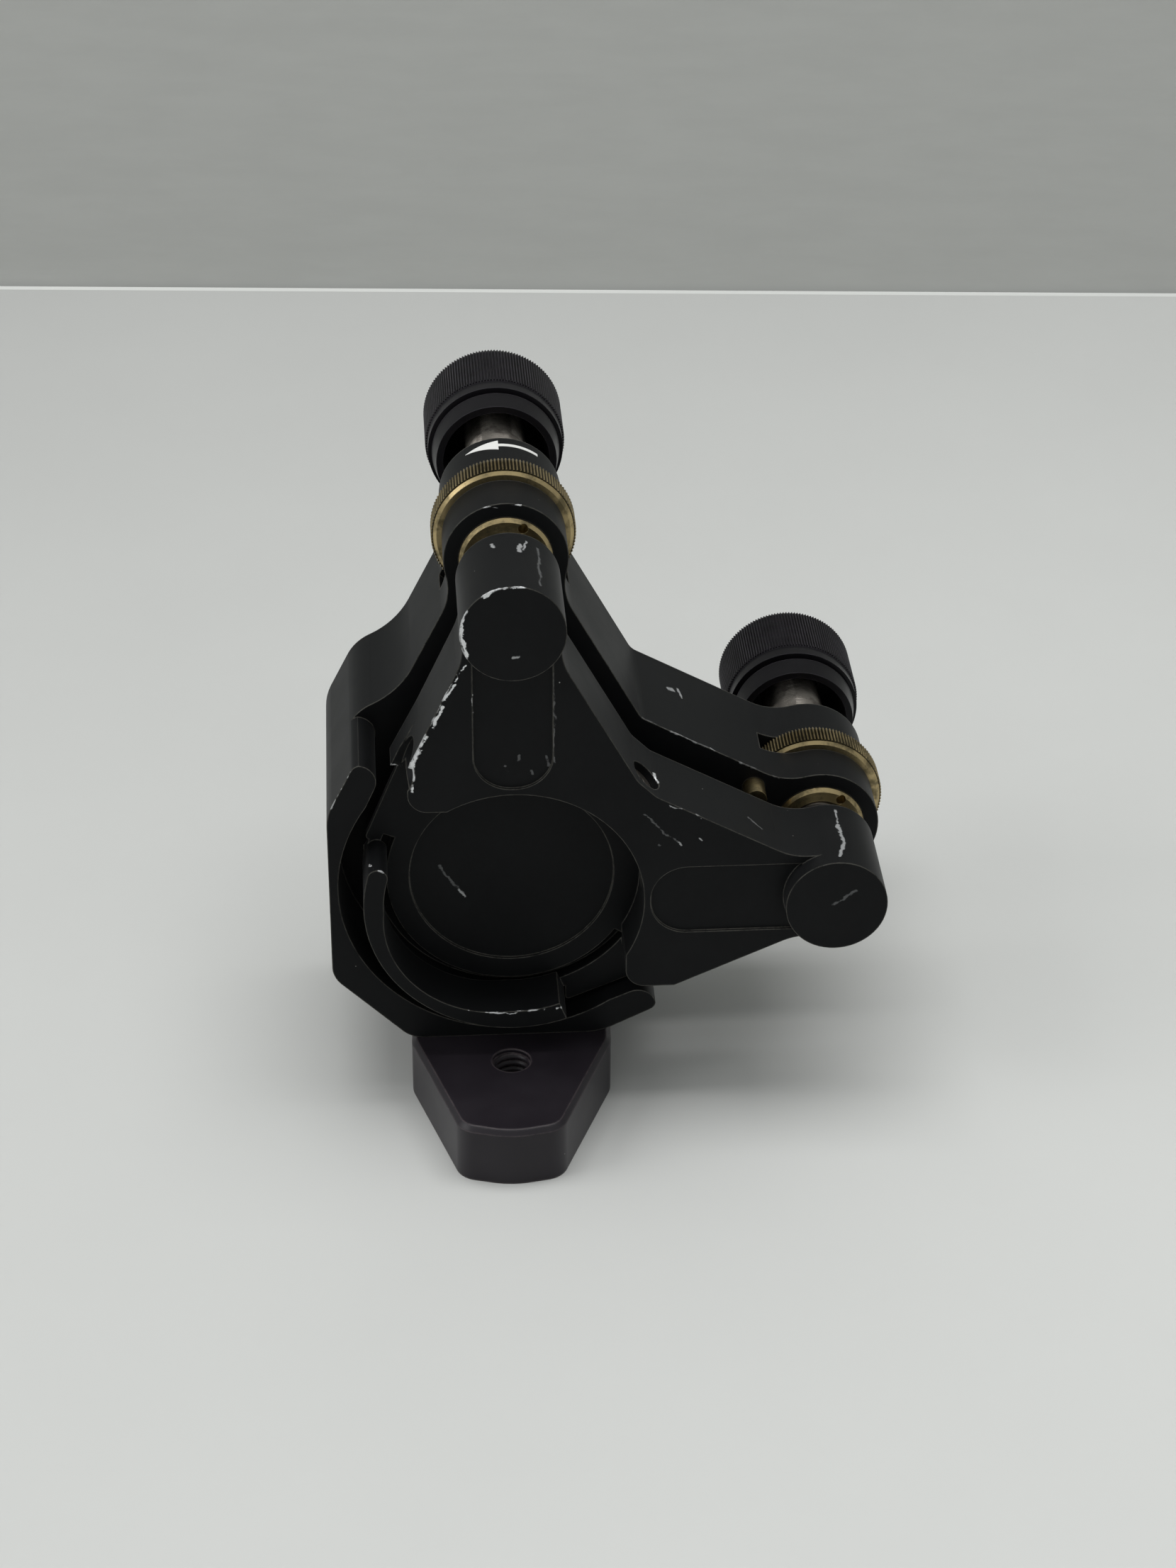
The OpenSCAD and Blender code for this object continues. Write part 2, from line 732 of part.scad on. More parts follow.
foot();
foot_screw();
back_plate();
back_pivot_cup();
top_front_bushing();
right_front_bushing();
top_rear_bushing();
right_rear_bushing();
top_back_pin();
right_back_pin();
tilt_stop();
top_spring();
right_spring();
top_lock_ring();
right_lock_ring();
top_tip_ball();
right_tip_ball();
top_screw();
right_screw();
top_knob();
right_knob();
pivot_ball();
front_plate();
front_pivot_cup();
v_seat();
flat_seat();
top_front_pin();
right_front_pin();
clamp_tip();
clamp_screw();
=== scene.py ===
"""Looks of the kinematic mirror mount: finishes of its turned and milled pieces, the fine
threads, the springs, the printed arrow and the studio round it.

The optic's axis runs along Y through the origin, and Z points up. All lengths in the classes are
millimetres; meshes are written in metres.
"""

import logging
import math
from dataclasses import dataclass, field
from enum import Enum
from typing import Any, Callable, Dict, List, Optional, Sequence, Tuple

import bpy
import numpy as np
from mathutils import Matrix

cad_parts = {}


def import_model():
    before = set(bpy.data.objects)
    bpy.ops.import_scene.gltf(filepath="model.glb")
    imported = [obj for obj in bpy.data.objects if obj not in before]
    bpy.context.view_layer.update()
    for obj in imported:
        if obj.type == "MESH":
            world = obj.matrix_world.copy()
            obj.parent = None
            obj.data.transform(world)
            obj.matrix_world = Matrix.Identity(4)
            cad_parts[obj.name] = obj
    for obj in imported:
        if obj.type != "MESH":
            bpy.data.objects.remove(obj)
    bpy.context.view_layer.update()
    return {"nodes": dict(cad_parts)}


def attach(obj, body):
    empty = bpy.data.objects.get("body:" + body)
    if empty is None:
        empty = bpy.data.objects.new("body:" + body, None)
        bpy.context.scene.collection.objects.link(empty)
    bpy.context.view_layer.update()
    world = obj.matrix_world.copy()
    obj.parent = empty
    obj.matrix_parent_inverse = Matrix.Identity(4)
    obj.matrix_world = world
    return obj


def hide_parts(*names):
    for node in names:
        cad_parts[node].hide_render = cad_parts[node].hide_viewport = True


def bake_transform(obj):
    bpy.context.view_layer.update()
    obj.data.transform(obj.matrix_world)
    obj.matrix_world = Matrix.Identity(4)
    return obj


LOG = logging.getLogger("mount")
MM = 0.001
ADJUSTER_REACH = 31.75  # from the optic's axis to the axis of either adjuster
Colour = Tuple[float, float, float]
Point = Tuple[float, float, float]
Rows = np.ndarray


class Arm(Enum):
    """The two arms of the mount, each with its own adjuster."""

    TOP = "top"
    RIGHT = "right"


class Ends(Enum):
    """How the first and last rows of a grid are closed."""

    CAPPED = "capped"
    JOINED = "joined"


# ---------------------------------------------------------------- meshes


def grid_mesh(name: str, grid: Rows, ends: Ends = Ends.CAPPED) -> bpy.types.Object:
    """Makes a closed surface from rows of points, each row a closed ring.

    Args:
        name: Name of the piece.
        grid: Points in millimetres, shaped (rows, columns, 3).
        ends: Whether each end row gets a cap, or the last row is joined to the first.

    Returns:
        The new object, at the origin, with its place in its mesh.
    """
    rows, columns, _ = grid.shape
    index = np.arange(rows * columns).reshape(rows, columns)
    ahead = np.roll(index, -1, axis=1)
    faces = np.stack([index[:-1], ahead[:-1], ahead[1:], index[1:]], axis=-1).reshape(-1, 4).tolist()
    if ends is Ends.CAPPED:
        faces += [index[0, ::-1].tolist(), index[-1].tolist()]
    else:
        faces += np.stack([index[-1], ahead[-1], ahead[0], index[0]], axis=-1).tolist()
    mesh = bpy.data.meshes.new(name)
    mesh.from_pydata((grid.reshape(-1, 3) * MM).tolist(), [], faces)
    mesh.validate()
    mesh.update()
    piece = bpy.data.objects.new(name, mesh)
    bpy.context.scene.collection.objects.link(piece)
    face_outwards(piece)
    return piece


def face_outwards(piece: bpy.types.Object) -> None:
    """Turns a closed piece so that its signed volume, the sum over its triangles, is positive.

    Args:
        piece: The piece, whose faces all turn the same way already.
    """
    mesh = piece.data
    mesh.calc_loop_triangles()
    points = np.empty(len(mesh.vertices) * 3)
    mesh.vertices.foreach_get("co", points)
    points = points.reshape(-1, 3)
    corners = np.empty(len(mesh.loop_triangles) * 3, dtype=np.int64)
    mesh.loop_triangles.foreach_get("vertices", corners)
    a, b, c = points[corners.reshape(-1, 3)].transpose(1, 0, 2)
    if np.einsum("ij,ij->i", a, np.cross(b, c)).sum() < 0:
        mesh.flip_normals()


def smooth(piece: bpy.types.Object, angle: float = 35.0) -> None:
    """Shades a piece smooth and keeps edges sharper than an angle in degrees."""
    piece.data.polygons.foreach_set("use_smooth", [True] * len(piece.data.polygons))
    piece.data.set_sharp_from_angle(angle=math.radians(angle))


def joined(name: str, pieces: Sequence[bpy.types.Object]) -> bpy.types.Object:
    """Joins several new pieces into one.

    Args:
        name: Name of the joined piece.
        pieces: The pieces, whose meshes are all in the model's own place.

    Returns:
        The one object that is left.
    """
    points: List[Rows] = []
    faces: List[List[int]] = []
    count = 0
    for piece in pieces:
        mesh = piece.data
        co = np.empty(len(mesh.vertices) * 3)
        mesh.vertices.foreach_get("co", co)
        points.append(co.reshape(-1, 3))
        faces += [[count + v for v in polygon.vertices] for polygon in mesh.polygons]
        count += len(mesh.vertices)
        bpy.data.objects.remove(piece)
    mesh = bpy.data.meshes.new(name)
    mesh.from_pydata(np.concatenate(points).tolist(), [], faces)
    mesh.update()
    whole = bpy.data.objects.new(name, mesh)
    bpy.context.scene.collection.objects.link(whole)
    return whole


def to_arm(points: Rows, arm: Arm) -> Rows:
    """Takes points of the top arm to the other arm by exchanging X and Z."""
    return points if arm is Arm.TOP else points[..., [2, 1, 0]]


@dataclass(frozen=True)
class Stretch:
    """Run along Y, in millimetres, from the first body to the second; nothing here bends a piece over it."""

    first: str
    second: str
    start: float
    end: float

    def bend(self, piece: bpy.types.Object, arm: Arm, height: float) -> None:
        """Bakes a piece's place into its mesh; it does not bend it between the two bodies.

        Args:
            piece: The new piece.
            arm: Arm of the mount that holds it; not used.
            height: Distance of its axis from the mount's own; not used.
        """
        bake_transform(piece)


def coat(piece: bpy.types.Object, finish: bpy.types.Material, slot: str) -> bpy.types.Object:
    """Gives a new piece its finish, and reports it with its slot.

    Args:
        piece: The new piece.
        finish: Its material.
        slot: Slot of the record that it takes its finish from.

    Returns:
        The piece.
    """
    piece.data.materials.clear()
    piece.data.materials.append(finish)
    LOG.info("%s: %d faces of %s", piece.name, len(piece.data.polygons), slot)
    return piece


def dress(piece: bpy.types.Object, finish: bpy.types.Material, body: str, slot: str) -> bpy.types.Object:
    """Gives a new piece its finish and its body, and reports it with its slot.

    Args:
        piece: The new piece.
        finish: Its material.
        body: Body that it rides on.
        slot: Slot of the record that it takes its finish from.

    Returns:
        The piece.
    """
    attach(piece, body)
    return coat(piece, finish, slot)


# ---------------------------------------------------------------- shader nodes


class Wiring:
    """Adds nodes to one node tree and joins them."""

    def __init__(self, tree: bpy.types.NodeTree) -> None:
        """Keeps the tree and empties it."""
        self.tree = tree
        tree.nodes.clear()

    def add(self, kind: str, inputs: Optional[Dict[Any, Any]] = None, **settings: Any) -> bpy.types.Node:
        """Adds one node.

        Args:
            kind: Blender's name of the node type.
            inputs: Values or sockets for its inputs, by name or by number.
            settings: Properties of the node itself.

        Returns:
            The node.
        """
        node = self.tree.nodes.new(kind)
        for name, value in settings.items():
            setattr(node, name, value)
        for key, value in (inputs or {}).items():
            self.feed(node.inputs[key], value)
        return node

    def feed(self, socket: bpy.types.NodeSocket, value: Any) -> None:
        """Joins another socket to an input, or writes a plain value into it.

        Args:
            socket: The input.
            value: Another socket, a number, a vector, or a colour of three parts.
        """
        if isinstance(value, bpy.types.NodeSocket):
            self.tree.links.new(value, socket)
        elif isinstance(value, (tuple, list)) and len(value) == 3 and socket.type == "RGBA":
            socket.default_value = (*value, 1.0)
        else:
            socket.default_value = value

    def math(self, operation: str, *values: Any, clamp: bool = False) -> bpy.types.NodeSocket:
        """Works out one number from others."""
        inputs = dict(enumerate(values))
        return self.add("ShaderNodeMath", inputs, operation=operation, use_clamp=clamp).outputs[0]

    def vector(self, operation: str, *values: Any) -> bpy.types.Node:
        """Works out a vector, or a number, from vectors."""
        return self.add("ShaderNodeVectorMath", dict(enumerate(values)), operation=operation)

    def scaled(self, vector: Any, share: Any) -> bpy.types.NodeSocket:
        """Vector or colour times a number."""
        return self.add("ShaderNodeVectorMath", {0: vector, "Scale": share}, operation="SCALE").outputs[0]

    def blend(self, factor: Any, low: Any, high: Any) -> bpy.types.NodeSocket:
        """Mixes two colours.

        Args:
            factor: Share of the second colour, from 0 to 1.
            low: First colour.
            high: Second colour.

        Returns:
            The mixed colour.
        """
        node = self.add("ShaderNodeMix", data_type="RGBA", clamp_factor=True)
        colours = [s for s in node.inputs if s.type == "RGBA"]
        self.feed(node.inputs[0], factor)
        self.feed(colours[0], low)
        self.feed(colours[1], high)
        return next(s for s in node.outputs if s.type == "RGBA")

    def between(self, value: Any, low: float, high: float,
                out_low: float = 0.0, out_high: float = 1.0) -> bpy.types.NodeSocket:
        """Maps the range from low to high smoothly onto the one from out_low to out_high."""
        inputs = {0: value, 1: low, 2: high, 3: out_low, 4: out_high}
        return self.add("ShaderNodeMapRange", inputs, interpolation_type="SMOOTHSTEP").outputs[0]

    def noise(self, place: Any, scale: Any, detail: float, roughness: float) -> bpy.types.NodeSocket:
        """Noise from 0 to 1 at a scale in cycles per millimetre."""
        inputs = {"Vector": place, "Scale": scale, "Detail": detail, "Roughness": roughness}
        return self.add("ShaderNodeTexNoise", inputs).outputs[0]

    def bump(self, height: Any, strength: float, distance: float, normal: Any = None) -> bpy.types.NodeSocket:
        """Normal of a surface raised by a height.

        Args:
            height: Height from 0 to 1.
            strength: Share of the bend that is used.
            distance: Height in millimetres that 1 stands for.
            normal: Normal to bend, or none for the surface's own.

        Returns:
            The bent normal.
        """
        inputs = {"Height": height, "Strength": strength, "Distance": distance * MM}
        if normal is not None:
            inputs["Normal"] = normal
        return self.add("ShaderNodeBump", inputs).outputs[0]

    def place(self) -> bpy.types.NodeSocket:
        """Object coordinates in millimetres."""
        return self.scaled(self.add("ShaderNodeTexCoord").outputs["Object"], 1 / MM)

    def parts(self, vector: Any) -> List[bpy.types.NodeSocket]:
        """X, Y and Z of a vector."""
        return list(self.add("ShaderNodeSeparateXYZ", {0: vector}).outputs)

    def joint(self, x: Any, y: Any, z: Any) -> bpy.types.NodeSocket:
        """Vector of three numbers."""
        return self.add("ShaderNodeCombineXYZ", {0: x, 1: y, 2: z}).outputs[0]


@dataclass(frozen=True)
class Effect:
    """A node group that several finishes share."""

    name: str
    inputs: Tuple[Tuple[str, str, Any], ...]
    outputs: Tuple[Tuple[str, str], ...]
    wire: Callable[[Wiring, bpy.types.Node, bpy.types.Node], None]

    def tree(self) -> bpy.types.NodeTree:
        """Builds the group, the first time that it is asked for.

        Returns:
            The group.
        """
        made = bpy.data.node_groups.get(self.name)
        if made:
            return made
        made = bpy.data.node_groups.new(self.name, "ShaderNodeTree")
        for name, kind, value in self.inputs:
            socket = made.interface.new_socket(name=name, in_out="INPUT", socket_type=kind)
            socket.default_value = value
        for name, kind in self.outputs:
            made.interface.new_socket(name=name, in_out="OUTPUT", socket_type=kind)
        wiring = Wiring(made)
        self.wire(wiring, made.nodes.new("NodeGroupInput"), made.nodes.new("NodeGroupOutput"))
        return made

    def put(self, wiring: Wiring, **values: Any) -> bpy.types.Node:
        """Places the group in a material.

        Args:
            wiring: The material's wiring.
            values: Values or sockets for the group's inputs, by name.

        Returns:
            The group node.
        """
        node = wiring.add("ShaderNodeGroup")
        node.node_tree = self.tree()
        for name, value in values.items():
            wiring.feed(node.inputs[name.replace("_", " ")], value)
        return node


FLOAT = "NodeSocketFloat"
VECTOR = "NodeSocketVector"


def wire_edge(w: Wiring, given: bpy.types.Node, out: bpy.types.Node) -> None:
    """Rounded normal at edges, a ragged mask where the finish is rubbed off, and a broken line of faint wear
    and painted highlight.

    Both masks grow with the bend, one minus the cosine between the rounded and the true normal,
    and are broken up by coarse and fine noise.

    Args:
        w: Wiring of the group.
        given: The group's inputs.
        out: The group's outputs.
    """
    place = w.place()
    rounded = w.add("ShaderNodeBevel", {"Radius": given.outputs["Radius"]}, samples=6).outputs[0]
    true = w.add("ShaderNodeNewGeometry").outputs["Normal"]
    bend = w.math("SUBTRACT", 1.0, w.vector("DOT_PRODUCT", rounded, true).outputs["Value"])
    coarse = w.noise(place, scale=0.55, detail=3.0, roughness=0.7)
    fine = w.noise(place, scale=3.5, detail=3.0, roughness=0.75)
    rag = w.math("ADD", w.math("MULTIPLY", coarse, 0.6), w.math("MULTIPLY", fine, 0.55))
    chance = w.math("ADD", given.outputs["Amount"], rag)
    strength = w.math("MULTIPLY", w.between(bend, low=0.01, high=0.16), chance)
    # Faint wear and painted highlight: a broken line along edges that stands for light caught by their
    # rounding.
    line = w.math("MULTIPLY", w.between(bend, low=0.01, high=0.1), w.between(rag, low=0.3, high=0.7))
    w.feed(out.inputs["Wear"], w.between(strength, low=0.78, high=1.0))
    w.feed(out.inputs["Line"], line)
    w.feed(out.inputs["Normal"], rounded)


def wire_sway(w: Wiring, given: bpy.types.Node, out: bpy.types.Node) -> None:
    """The place moved by slow and quick noise, up to half of Slow and Quick, and a ragged value.

    Args:
        w: Wiring of the group.
        given: The group's inputs.
        out: The group's outputs.
    """
    here = w.place()
    place = here
    for name, scale in (("Slow", 0.45), ("Quick", 2.0)):
        swing = w.add("ShaderNodeTexNoise", {"Vector": here, "Scale": scale, "Detail": 3.0}).outputs["Color"]
        swing = w.vector("SUBTRACT", swing, (0.5, 0.5, 0.5)).outputs[0]
        place = w.vector("ADD", place, w.scaled(swing, given.outputs[name])).outputs[0]
    rag = w.noise(here, scale=1.6, detail=5.0, roughness=0.8)
    w.feed(out.inputs["Place"], place)
    w.feed(out.inputs["Rag"], w.math("SUBTRACT", rag, 0.5))


def wire_stroke(w: Wiring, given: bpy.types.Node, out: bpy.types.Node) -> None:
    """Mask that falls from 1 on the line from Start to End to 0 at Width from it.

    The distance is that from the point to its foot on the line, kept between the two ends.

    Args:
        w: Wiring of the group.
        given: The group's inputs.
        out: The group's outputs.
    """
    start = given.outputs["Start"]
    run = w.vector("SUBTRACT", given.outputs["End"], start).outputs[0]
    away = w.vector("SUBTRACT", given.outputs["Place"], start).outputs[0]
    along = w.vector("DOT_PRODUCT", away, run).outputs["Value"]
    length = w.vector("DOT_PRODUCT", run, run).outputs["Value"]
    foot = w.scaled(run, w.math("DIVIDE", along, length, clamp=True))
    gap = w.vector("LENGTH", w.vector("SUBTRACT", away, foot).outputs[0]).outputs["Value"]
    fade = w.math("DIVIDE", gap, given.outputs["Width"], clamp=True)
    w.feed(out.inputs["Mask"], w.math("SUBTRACT", 1.0, fade))


def wire_knurl(w: Wiring, given: bpy.types.Node, out: bpy.types.Node) -> None:
    """Mask of painted shade in the grooves between the teeth of a knurl, from the distance to an axis along
    Y.

    It runs from a tenth of the depth below the tips down to the grooves' floor, and stops there.

    Args:
        w: Wiring of the group.
        given: The group's inputs.
        out: The group's outputs.
    """
    x, _, z = w.parts(w.vector("SUBTRACT", w.place(), given.outputs["Centre"]).outputs[0])
    radius = w.vector("LENGTH", w.joint(x, 0.0, z)).outputs["Value"]
    below = w.math("DIVIDE", w.math("SUBTRACT", given.outputs["Tip"], radius), given.outputs["Depth"])
    wall = w.between(below, low=0.1, high=0.8)
    floor = w.between(below, low=1.02, high=1.06, out_low=1.0, out_high=0.0)
    w.feed(out.inputs["Groove Shade"], w.math("MULTIPLY", wall, floor))


def wire_grain(w: Wiring, given: bpy.types.Node, out: bpy.types.Node) -> None:
    """Slow cloudiness of a dyed surface, and the fine tooth that makes it matt.

    Args:
        w: Wiring of the group.
        given: The group's inputs.
        out: The group's outputs.
    """
    place = w.place()
    cloud = w.noise(place, scale=0.12, detail=3.0, roughness=0.6)
    fine = w.noise(place, scale=given.outputs["Fineness"], detail=4.0, roughness=0.7)
    w.feed(out.inputs["Cloud"], w.between(cloud, low=0.3, high=0.7))
    w.feed(out.inputs["Height"], w.math("MULTIPLY", fine, given.outputs["Depth"]))


def wire_dust(w: Wiring, given: bpy.types.Node, out: bpy.types.Node) -> None:
    """Small pale specks: the middles of a few scattered cells, and of more on what faces up.

    Args:
        w: Wiring of the group.
        given: The group's inputs.
        out: The group's outputs.
    """
    inputs = {"Vector": w.place(), "Scale": given.outputs["Density"], "Randomness": 1.0}
    cells = w.add("ShaderNodeTexVoronoi", inputs)
    pick = w.add("ShaderNodeSeparateColor", {0: cells.outputs["Color"]})
    up = w.parts(w.add("ShaderNodeNewGeometry").outputs["Normal"])[2]
    luck = w.math("SUBTRACT", pick.outputs[0], w.math("MULTIPLY", w.math("MAXIMUM", up, 0.0), 0.05))
    wanted = w.between(luck, low=0.0, high=0.055, out_low=1.0, out_high=0.0)
    radius = w.math("MULTIPLY", cells.outputs["Distance"], w.math("ADD", 1.0, pick.outputs[1]))
    dot = w.between(radius, low=0.03, high=0.07, out_low=1.0, out_high=0.0)
    w.feed(out.inputs["Mask"], w.math("MULTIPLY", dot, wanted))


EDGE = Effect(
    "rubbed edge and highlight", (("Radius", FLOAT, 0.0002), ("Amount", FLOAT, 0.0)),
    (("Wear", FLOAT), ("Line", FLOAT), ("Normal", VECTOR)), wire_edge)
SWAY = Effect(
    "sway", (("Slow", FLOAT, 0.9), ("Quick", FLOAT, 0.35)),
    (("Place", VECTOR), ("Rag", FLOAT)), wire_sway)
STROKE = Effect(
    "stroke", (("Place", VECTOR, (0, 0, 0)), ("Start", VECTOR, (0, 0, 0)), ("End", VECTOR, (1, 0, 0)),
               ("Width", FLOAT, 0.1)),
    (("Mask", FLOAT),), wire_stroke)
KNURL = Effect(
    "knurl", (("Centre", VECTOR, (0, 0, 0)), ("Tip", FLOAT, 7.15), ("Depth", FLOAT, 0.2)),
    (("Groove Shade", FLOAT),), wire_knurl)
GRAIN = Effect(
    "grain", (("Fineness", FLOAT, 9.0), ("Depth", FLOAT, 1.0)),
    (("Cloud", FLOAT), ("Height", FLOAT)), wire_grain)
DUST = Effect(
    "dust", (("Density", FLOAT, 0.9),),
    (("Mask", FLOAT),), wire_dust)


# ---------------------------------------------------------------- finishes


@dataclass(frozen=True)
class Stroke:
    """A scratch or a rubbed stretch from one point to another, in millimetres."""

    start: Point
    end: Point
    width: float


Leg = Tuple[Point, Point, float]


def strokes(*legs: Leg) -> Tuple[Stroke, ...]:
    """Strokes from their starts, ends and widths."""
    return tuple(Stroke(*leg) for leg in legs)


def new_finish(name: str) -> Tuple[bpy.types.Material, Wiring, bpy.types.Node]:
    """Starts a material with a shader and its output.

    Args:
        name: Name of the material.

    Returns:
        The material, its wiring and its shader.
    """
    made = bpy.data.materials.new(name)
    made.use_nodes = True
    w = Wiring(made.node_tree)
    shader = w.add("ShaderNodeBsdfPrincipled")
    w.add("ShaderNodeOutputMaterial", {0: shader.outputs[0]})
    return made, w, shader


@dataclass(frozen=True)
class Anodised:
    """Dyed aluminium, matt, with bright metal where the dye is rubbed off, a paler edge line of faint wear
    and painted highlight, and painted shade in the grooves of a knurl.
    """

    name: str
    dye: Colour
    cloud: Colour
    roughness: float = 0.46
    haze: float = 0.05
    tooth: float = 0.10
    tooth_height: float = 0.04
    fineness: float = 7.0
    specular: float = 0.10
    sheen: float = 0.025
    sheen_roughness: float = 0.4
    edge_radius: float = 0.2
    rubbed: float = 0.0
    # Strength of the paler edge line, which is faint wear and painted highlight.
    line: float = 0.9
    dust: float = 0.9
    bare: Colour = (0.74, 0.75, 0.76)
    bare_metallic: float = 0.6
    bare_roughness: float = 0.36
    # Colour of that edge line, which is faint wear and painted highlight.
    edge_wear_and_highlight_tone: Colour = (0.13, 0.125, 0.11)
    speck_tone: Colour = (0.6, 0.6, 0.57)
    speck_cover: float = 0.75
    # Painted shade in a knurl's grooves: its colour, and how much of it covers them.
    groove_shade_tone: Colour = (0.001, 0.001, 0.001)
    groove_shade_cover: float = 0.9
    axis: Optional[Point] = None
    tip: float = 7.18
    # Worn stretches, and a few painted highlights drawn as bare metal.
    worn: Tuple[Stroke, ...] = ()
    worn_rag: float = 1.8
    scratches: Tuple[Stroke, ...] = ()
    scratch_depth: float = 0.45
    smears: Tuple[Stroke, ...] = ()
    smear_depth: float = 0.12
    mark_rag: float = 1.2

    def largest(self, w: Wiring, place: bpy.types.NodeSocket,
                marks: Sequence[Stroke]) -> bpy.types.NodeSocket:
        """Largest of the masks of several strokes.

        Args:
            w: Wiring of the material.
            place: Place that the strokes are measured at.
            marks: The strokes.

        Returns:
            The mask.
        """
        puts = [STROKE.put(w, Place=place, Start=m.start, End=m.end, Width=m.width) for m in marks]
        masks = [put.outputs[0] for put in puts]
        total = masks[0]
        for mask in masks[1:]:
            total = w.math("MAXIMUM", total, mask)
        return total

    def wear(self, w: Wiring) -> Tuple[bpy.types.NodeSocket, bpy.types.Node]:
        """Mask of the metal that shows, from rubbed edges, worn stretches, scratches and smears; a few of the
        worn stretches are painted highlights.

        Args:
            w: Wiring of the material.

        Returns:
            The mask, and the edge effect that it starts from.
        """
        sway = SWAY.put(w).outputs
        worn: Any = 0.0
        amount: Any = self.rubbed
        radius: Any = self.edge_radius * MM
        if self.worn:
            near = self.largest(w, sway["Place"], self.worn)
            rubbed = w.between(near, low=0.0, high=0.5)
            amount = w.math("ADD", self.rubbed, w.math("MULTIPLY", rubbed, 0.7))
            radius = w.math("MULTIPLY", radius, w.math("ADD", 1.0, rubbed))
            ragged = w.math("ADD", near, w.math("MULTIPLY", sway["Rag"], self.worn_rag))
            worn = w.between(ragged, low=0.6, high=0.76)
        edge = EDGE.put(w, Radius=radius, Amount=amount)
        total = w.math("MAXIMUM", worn, edge.outputs["Wear"])
        for marks, depth in ((self.scratches, self.scratch_depth), (self.smears, self.smear_depth)):
            if marks:
                near = self.largest(w, sway["Place"], marks)
                ragged = w.math("ADD", near, w.math("MULTIPLY", sway["Rag"], self.mark_rag))
                mark = w.between(ragged, low=0.35, high=0.75, out_low=0.0, out_high=depth)
                total = w.math("MAXIMUM", total, mark)
        return total, edge

    def material(self) -> bpy.types.Material:
        """Builds the finish.

        Returns:
            The material.
        """
        made, w, shader = new_finish(self.name)
        grain = GRAIN.put(w, Fineness=self.fineness, Depth=1.0)
        wear, edge = self.wear(w)
        specks = w.math("MULTIPLY", DUST.put(w, Density=self.dust).outputs[0], self.speck_cover)
        dyed = w.blend(grain.outputs["Cloud"], self.dye, self.cloud)
        if self.axis:
            # Painted shade darkens the knurl's grooves.
            shaded_groove = KNURL.put(w, Centre=self.axis, Tip=self.tip).outputs[0]
            dyed = w.blend(w.math("MULTIPLY", shaded_groove, self.groove_shade_cover), dyed, self.groove_shade_tone)
        # Edges lightened towards the edge line's colour: faint wear and painted highlight.
        worn_and_highlit_edges = w.blend(w.math("MULTIPLY", edge.outputs["Line"], self.line), dyed, self.edge_wear_and_highlight_tone)
        metal = w.blend(wear, worn_and_highlit_edges, self.bare)
        clean = w.math("SUBTRACT", self.bare_metallic, w.math("MULTIPLY", specks, self.bare_metallic))
        rough = w.between(wear, low=0.0, high=1.0, out_low=self.roughness, out_high=self.bare_roughness)
        hazy = w.math("MULTIPLY", grain.outputs["Cloud"], self.haze)
        shader.inputs["Specular IOR Level"].default_value = self.specular
        shader.inputs["Sheen Weight"].default_value = self.sheen
        shader.inputs["Sheen Roughness"].default_value = self.sheen_roughness
        w.feed(shader.inputs["Base Color"], w.blend(specks, metal, self.speck_tone))
        w.feed(shader.inputs["Metallic"], w.math("MULTIPLY", wear, clean))
        w.feed(shader.inputs["Roughness"], w.math("ADD", hazy, rough))
        normal = w.bump(grain.outputs["Height"], self.tooth, self.tooth_height, edge.outputs["Normal"])
        w.feed(shader.inputs["Normal"], normal)
        return made


@dataclass(frozen=True)
class Turned:
    """Turned metal with fine rings round an axis along Y, tarnished in patches, with painted shade in the
    grooves of its knurl.
    """

    name: str
    metal: Colour
    tarnish: Colour
    centre: Point
    roughness: float = 0.3
    rings: float = 9.0
    share: float = 0.5
    edge_radius: float = 0.04
    rubbed: float = 0.15
    depth: float = 0.12
    ring_height: float = 0.05
    dulling: float = 0.16
    tip: float = 0.0
    # Painted shade in the knurl's grooves, as a share of the tarnish colour.
    groove_shade: float = 0.18

    def material(self) -> bpy.types.Material:
        """Builds the finish.

        Returns:
            The material.
        """
        made, w, shader = new_finish(self.name)
        place = w.place()
        x, y, z = w.parts(w.vector("SUBTRACT", place, self.centre).outputs[0])
        radius = w.math("SQRT", w.math("ADD", w.math("POWER", x, 2.0), w.math("POWER", z, 2.0)))
        rings = w.noise(w.joint(radius, y, 0.0), scale=self.rings, detail=2.0, roughness=0.5)
        patches = w.noise(place, scale=0.5, detail=4.0, roughness=0.65)
        stain = w.between(patches, low=0.62 - self.share * 0.4, high=0.85 - self.share * 0.4)
        edge = EDGE.put(w, Radius=self.edge_radius * MM, Amount=self.rubbed)
        dull = w.math("MULTIPLY", stain, w.math("SUBTRACT", 1.0, edge.outputs["Wear"]))
        colour = w.blend(dull, self.metal, self.tarnish)
        # Painted shade darkens the knurl's grooves.
        if self.tip:
            shaded_groove = KNURL.put(w, Centre=self.centre, Tip=self.tip).outputs[0]
            colour = w.blend(shaded_groove, colour, tuple(self.groove_shade * c for c in self.tarnish))
        shader.inputs["Metallic"].default_value = 1.0
        w.feed(shader.inputs["Base Color"], colour)
        rough = w.math("ADD", self.roughness, w.math("MULTIPLY", dull, self.dulling))
        w.feed(shader.inputs["Roughness"], rough)
        normal = w.bump(rings, self.depth, self.ring_height, edge.outputs["Normal"])
        w.feed(shader.inputs["Normal"], normal)
        return made


